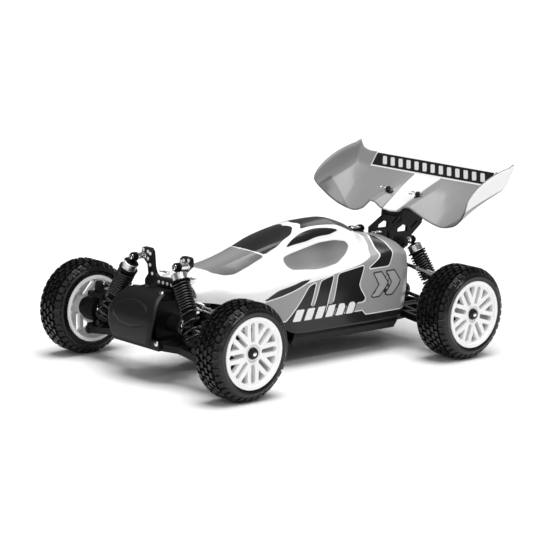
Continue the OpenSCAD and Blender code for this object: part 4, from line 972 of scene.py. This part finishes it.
def bumper_trim():
    """The foot behind the bumper's lower edge, and the screws beside it."""
    block("bumper_foot", end_at("front", *FOOT_LOW), end_at("front", *FOOT_HIGH), FOOT_EDGE, BLACK, "chassis")
    for side, sg in SIDES.items():
        x, y, h = TOP_SCREW
        screw(f"bumper_screw_{side}", end_at("front", x, sg * y, h), TOP_SCREW_WAY, BUMPER_SCREW_R, STEEL)
        x, y, h = HINGE_SCREW
        screw(f"hinge_screw_{side}", end_at("front", x, sg * y, h), Vector((1, 0, 0)), BUMPER_SCREW_R, STEEL)


def body_clip(name, x, y, height, along, lean):
    """A bent wire clip through the tip of a body post, its loop and free leg set by two directions."""
    long, wide = CLIP_LOOP
    line = [(CLIP_LEG * t, 0) for t in np.linspace(-1, 1, 9)]
    line += [(CLIP_LEG + long * math.sin(g), wide * (1 - math.cos(g))) for g in np.linspace(0, math.pi, 10)]
    line += [(CLIP_LEG - CLIP_FREE * t, 2 * wide - CLIP_WAVE * math.sin(math.pi * t))
             for t in np.linspace(0.1, 1, 9)]
    places = [(x + along[0] * a + lean[0] * b, y + along[1] * a + lean[1] * b) for a, b in line]
    wire(name, [at(*p, height) for p in places], CLIP_R, STEEL, "chassis")


def wing_trim():
    """Two knobs that hold the wing down, each with a wire clip through it."""
    across = Vector((0, -1, 0))
    knob = [(0.0, -1.0), (4.4, -1.0), (4.4, 0.3), (3.2, 0.7), (2.7, 1.2), (2.7, 3.6), (2.2, 4.3), (0.0, 4.5)]
    loop_y, loop_r = WING_CLIP_LOOP
    for side, sg in SIDES.items():
        x, y, h = WING_BUTTON
        foot = at(x, sg * y, h)
        lathe(f"wing_button_{side}", knob, foot, WING_UP, DARK_STEEL, "chassis")
        line = [across * t for t in WING_CLIP_LEG]
        for t in np.linspace(-0.5, 1.35, 15):
            round_y = loop_y + loop_r * math.sin(math.pi * t)
            round_x = loop_r * math.cos(math.pi * t) - WING_CLIP_SHIFT
            line.append(across * round_y + WING_BACKWARD * round_x + WING_UP * WING_CLIP_CLIMB * (t + 0.5))
        points = [foot + (WING_UP * WING_CLIP_H + p) * MM for p in line]
        wire(f"wing_clip_{side}", points, WING_CLIP_R, STEEL, "chassis")


# The CAD nodes that show as they are

CAD_EDGE = 0.3               # rounding of the moulded nodes
# the first of these words in a node's name gives its look
NODE_LOOKS = (("rim", RIM), ("shock_body", DEEP_BLACK), ("axle", DARK_STEEL), ("driveshaft", STEEL),
              ("link", STEEL), ("tie_rod", STEEL), ("centre_shaft", STEEL), ("diff", DARK_STEEL),
              ("motor_pinion", BRASS), ("motor", CAN))


def dress():
    """Gives each CAD node its material, and the moulded ones their rounded edges."""
    for name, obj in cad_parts.items():
        look = next((m for word, m in NODE_LOOKS if word in name), BLACK)
        obj.data.materials.clear()
        obj.data.materials.append(look)
        if look in (BLACK, RIM):
            soften(obj, CAD_EDGE)


stage()
camera()
dress()
body_shell()
wing()
wing_trim()
bumper_skin = bumper()
bumper_trim()
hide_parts("front_bumper")
coils = []
for end in AXLE_X:
    tower_trim(end)
    for side in SIDES:
        tyre(end, side)
        wheel_nut(end, side)
        coils.append((end, side, *spring(end, side)))
        shock_trim(end, side)
for side, sg in SIDES.items():
    x, y = FRONT_CLIP
    body_clip(f"front_clip_{side}", x, sg * y, FRONT_CLIP_H, (0, -sg), (-1, 0))
    x, y = REAR_CLIP
    body_clip(f"rear_clip_{side}", x, sg * y, REAR_CLIP_H, (-1, 0), (0, sg))
for end, side, coil, low, high in coils:
    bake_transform(coil)
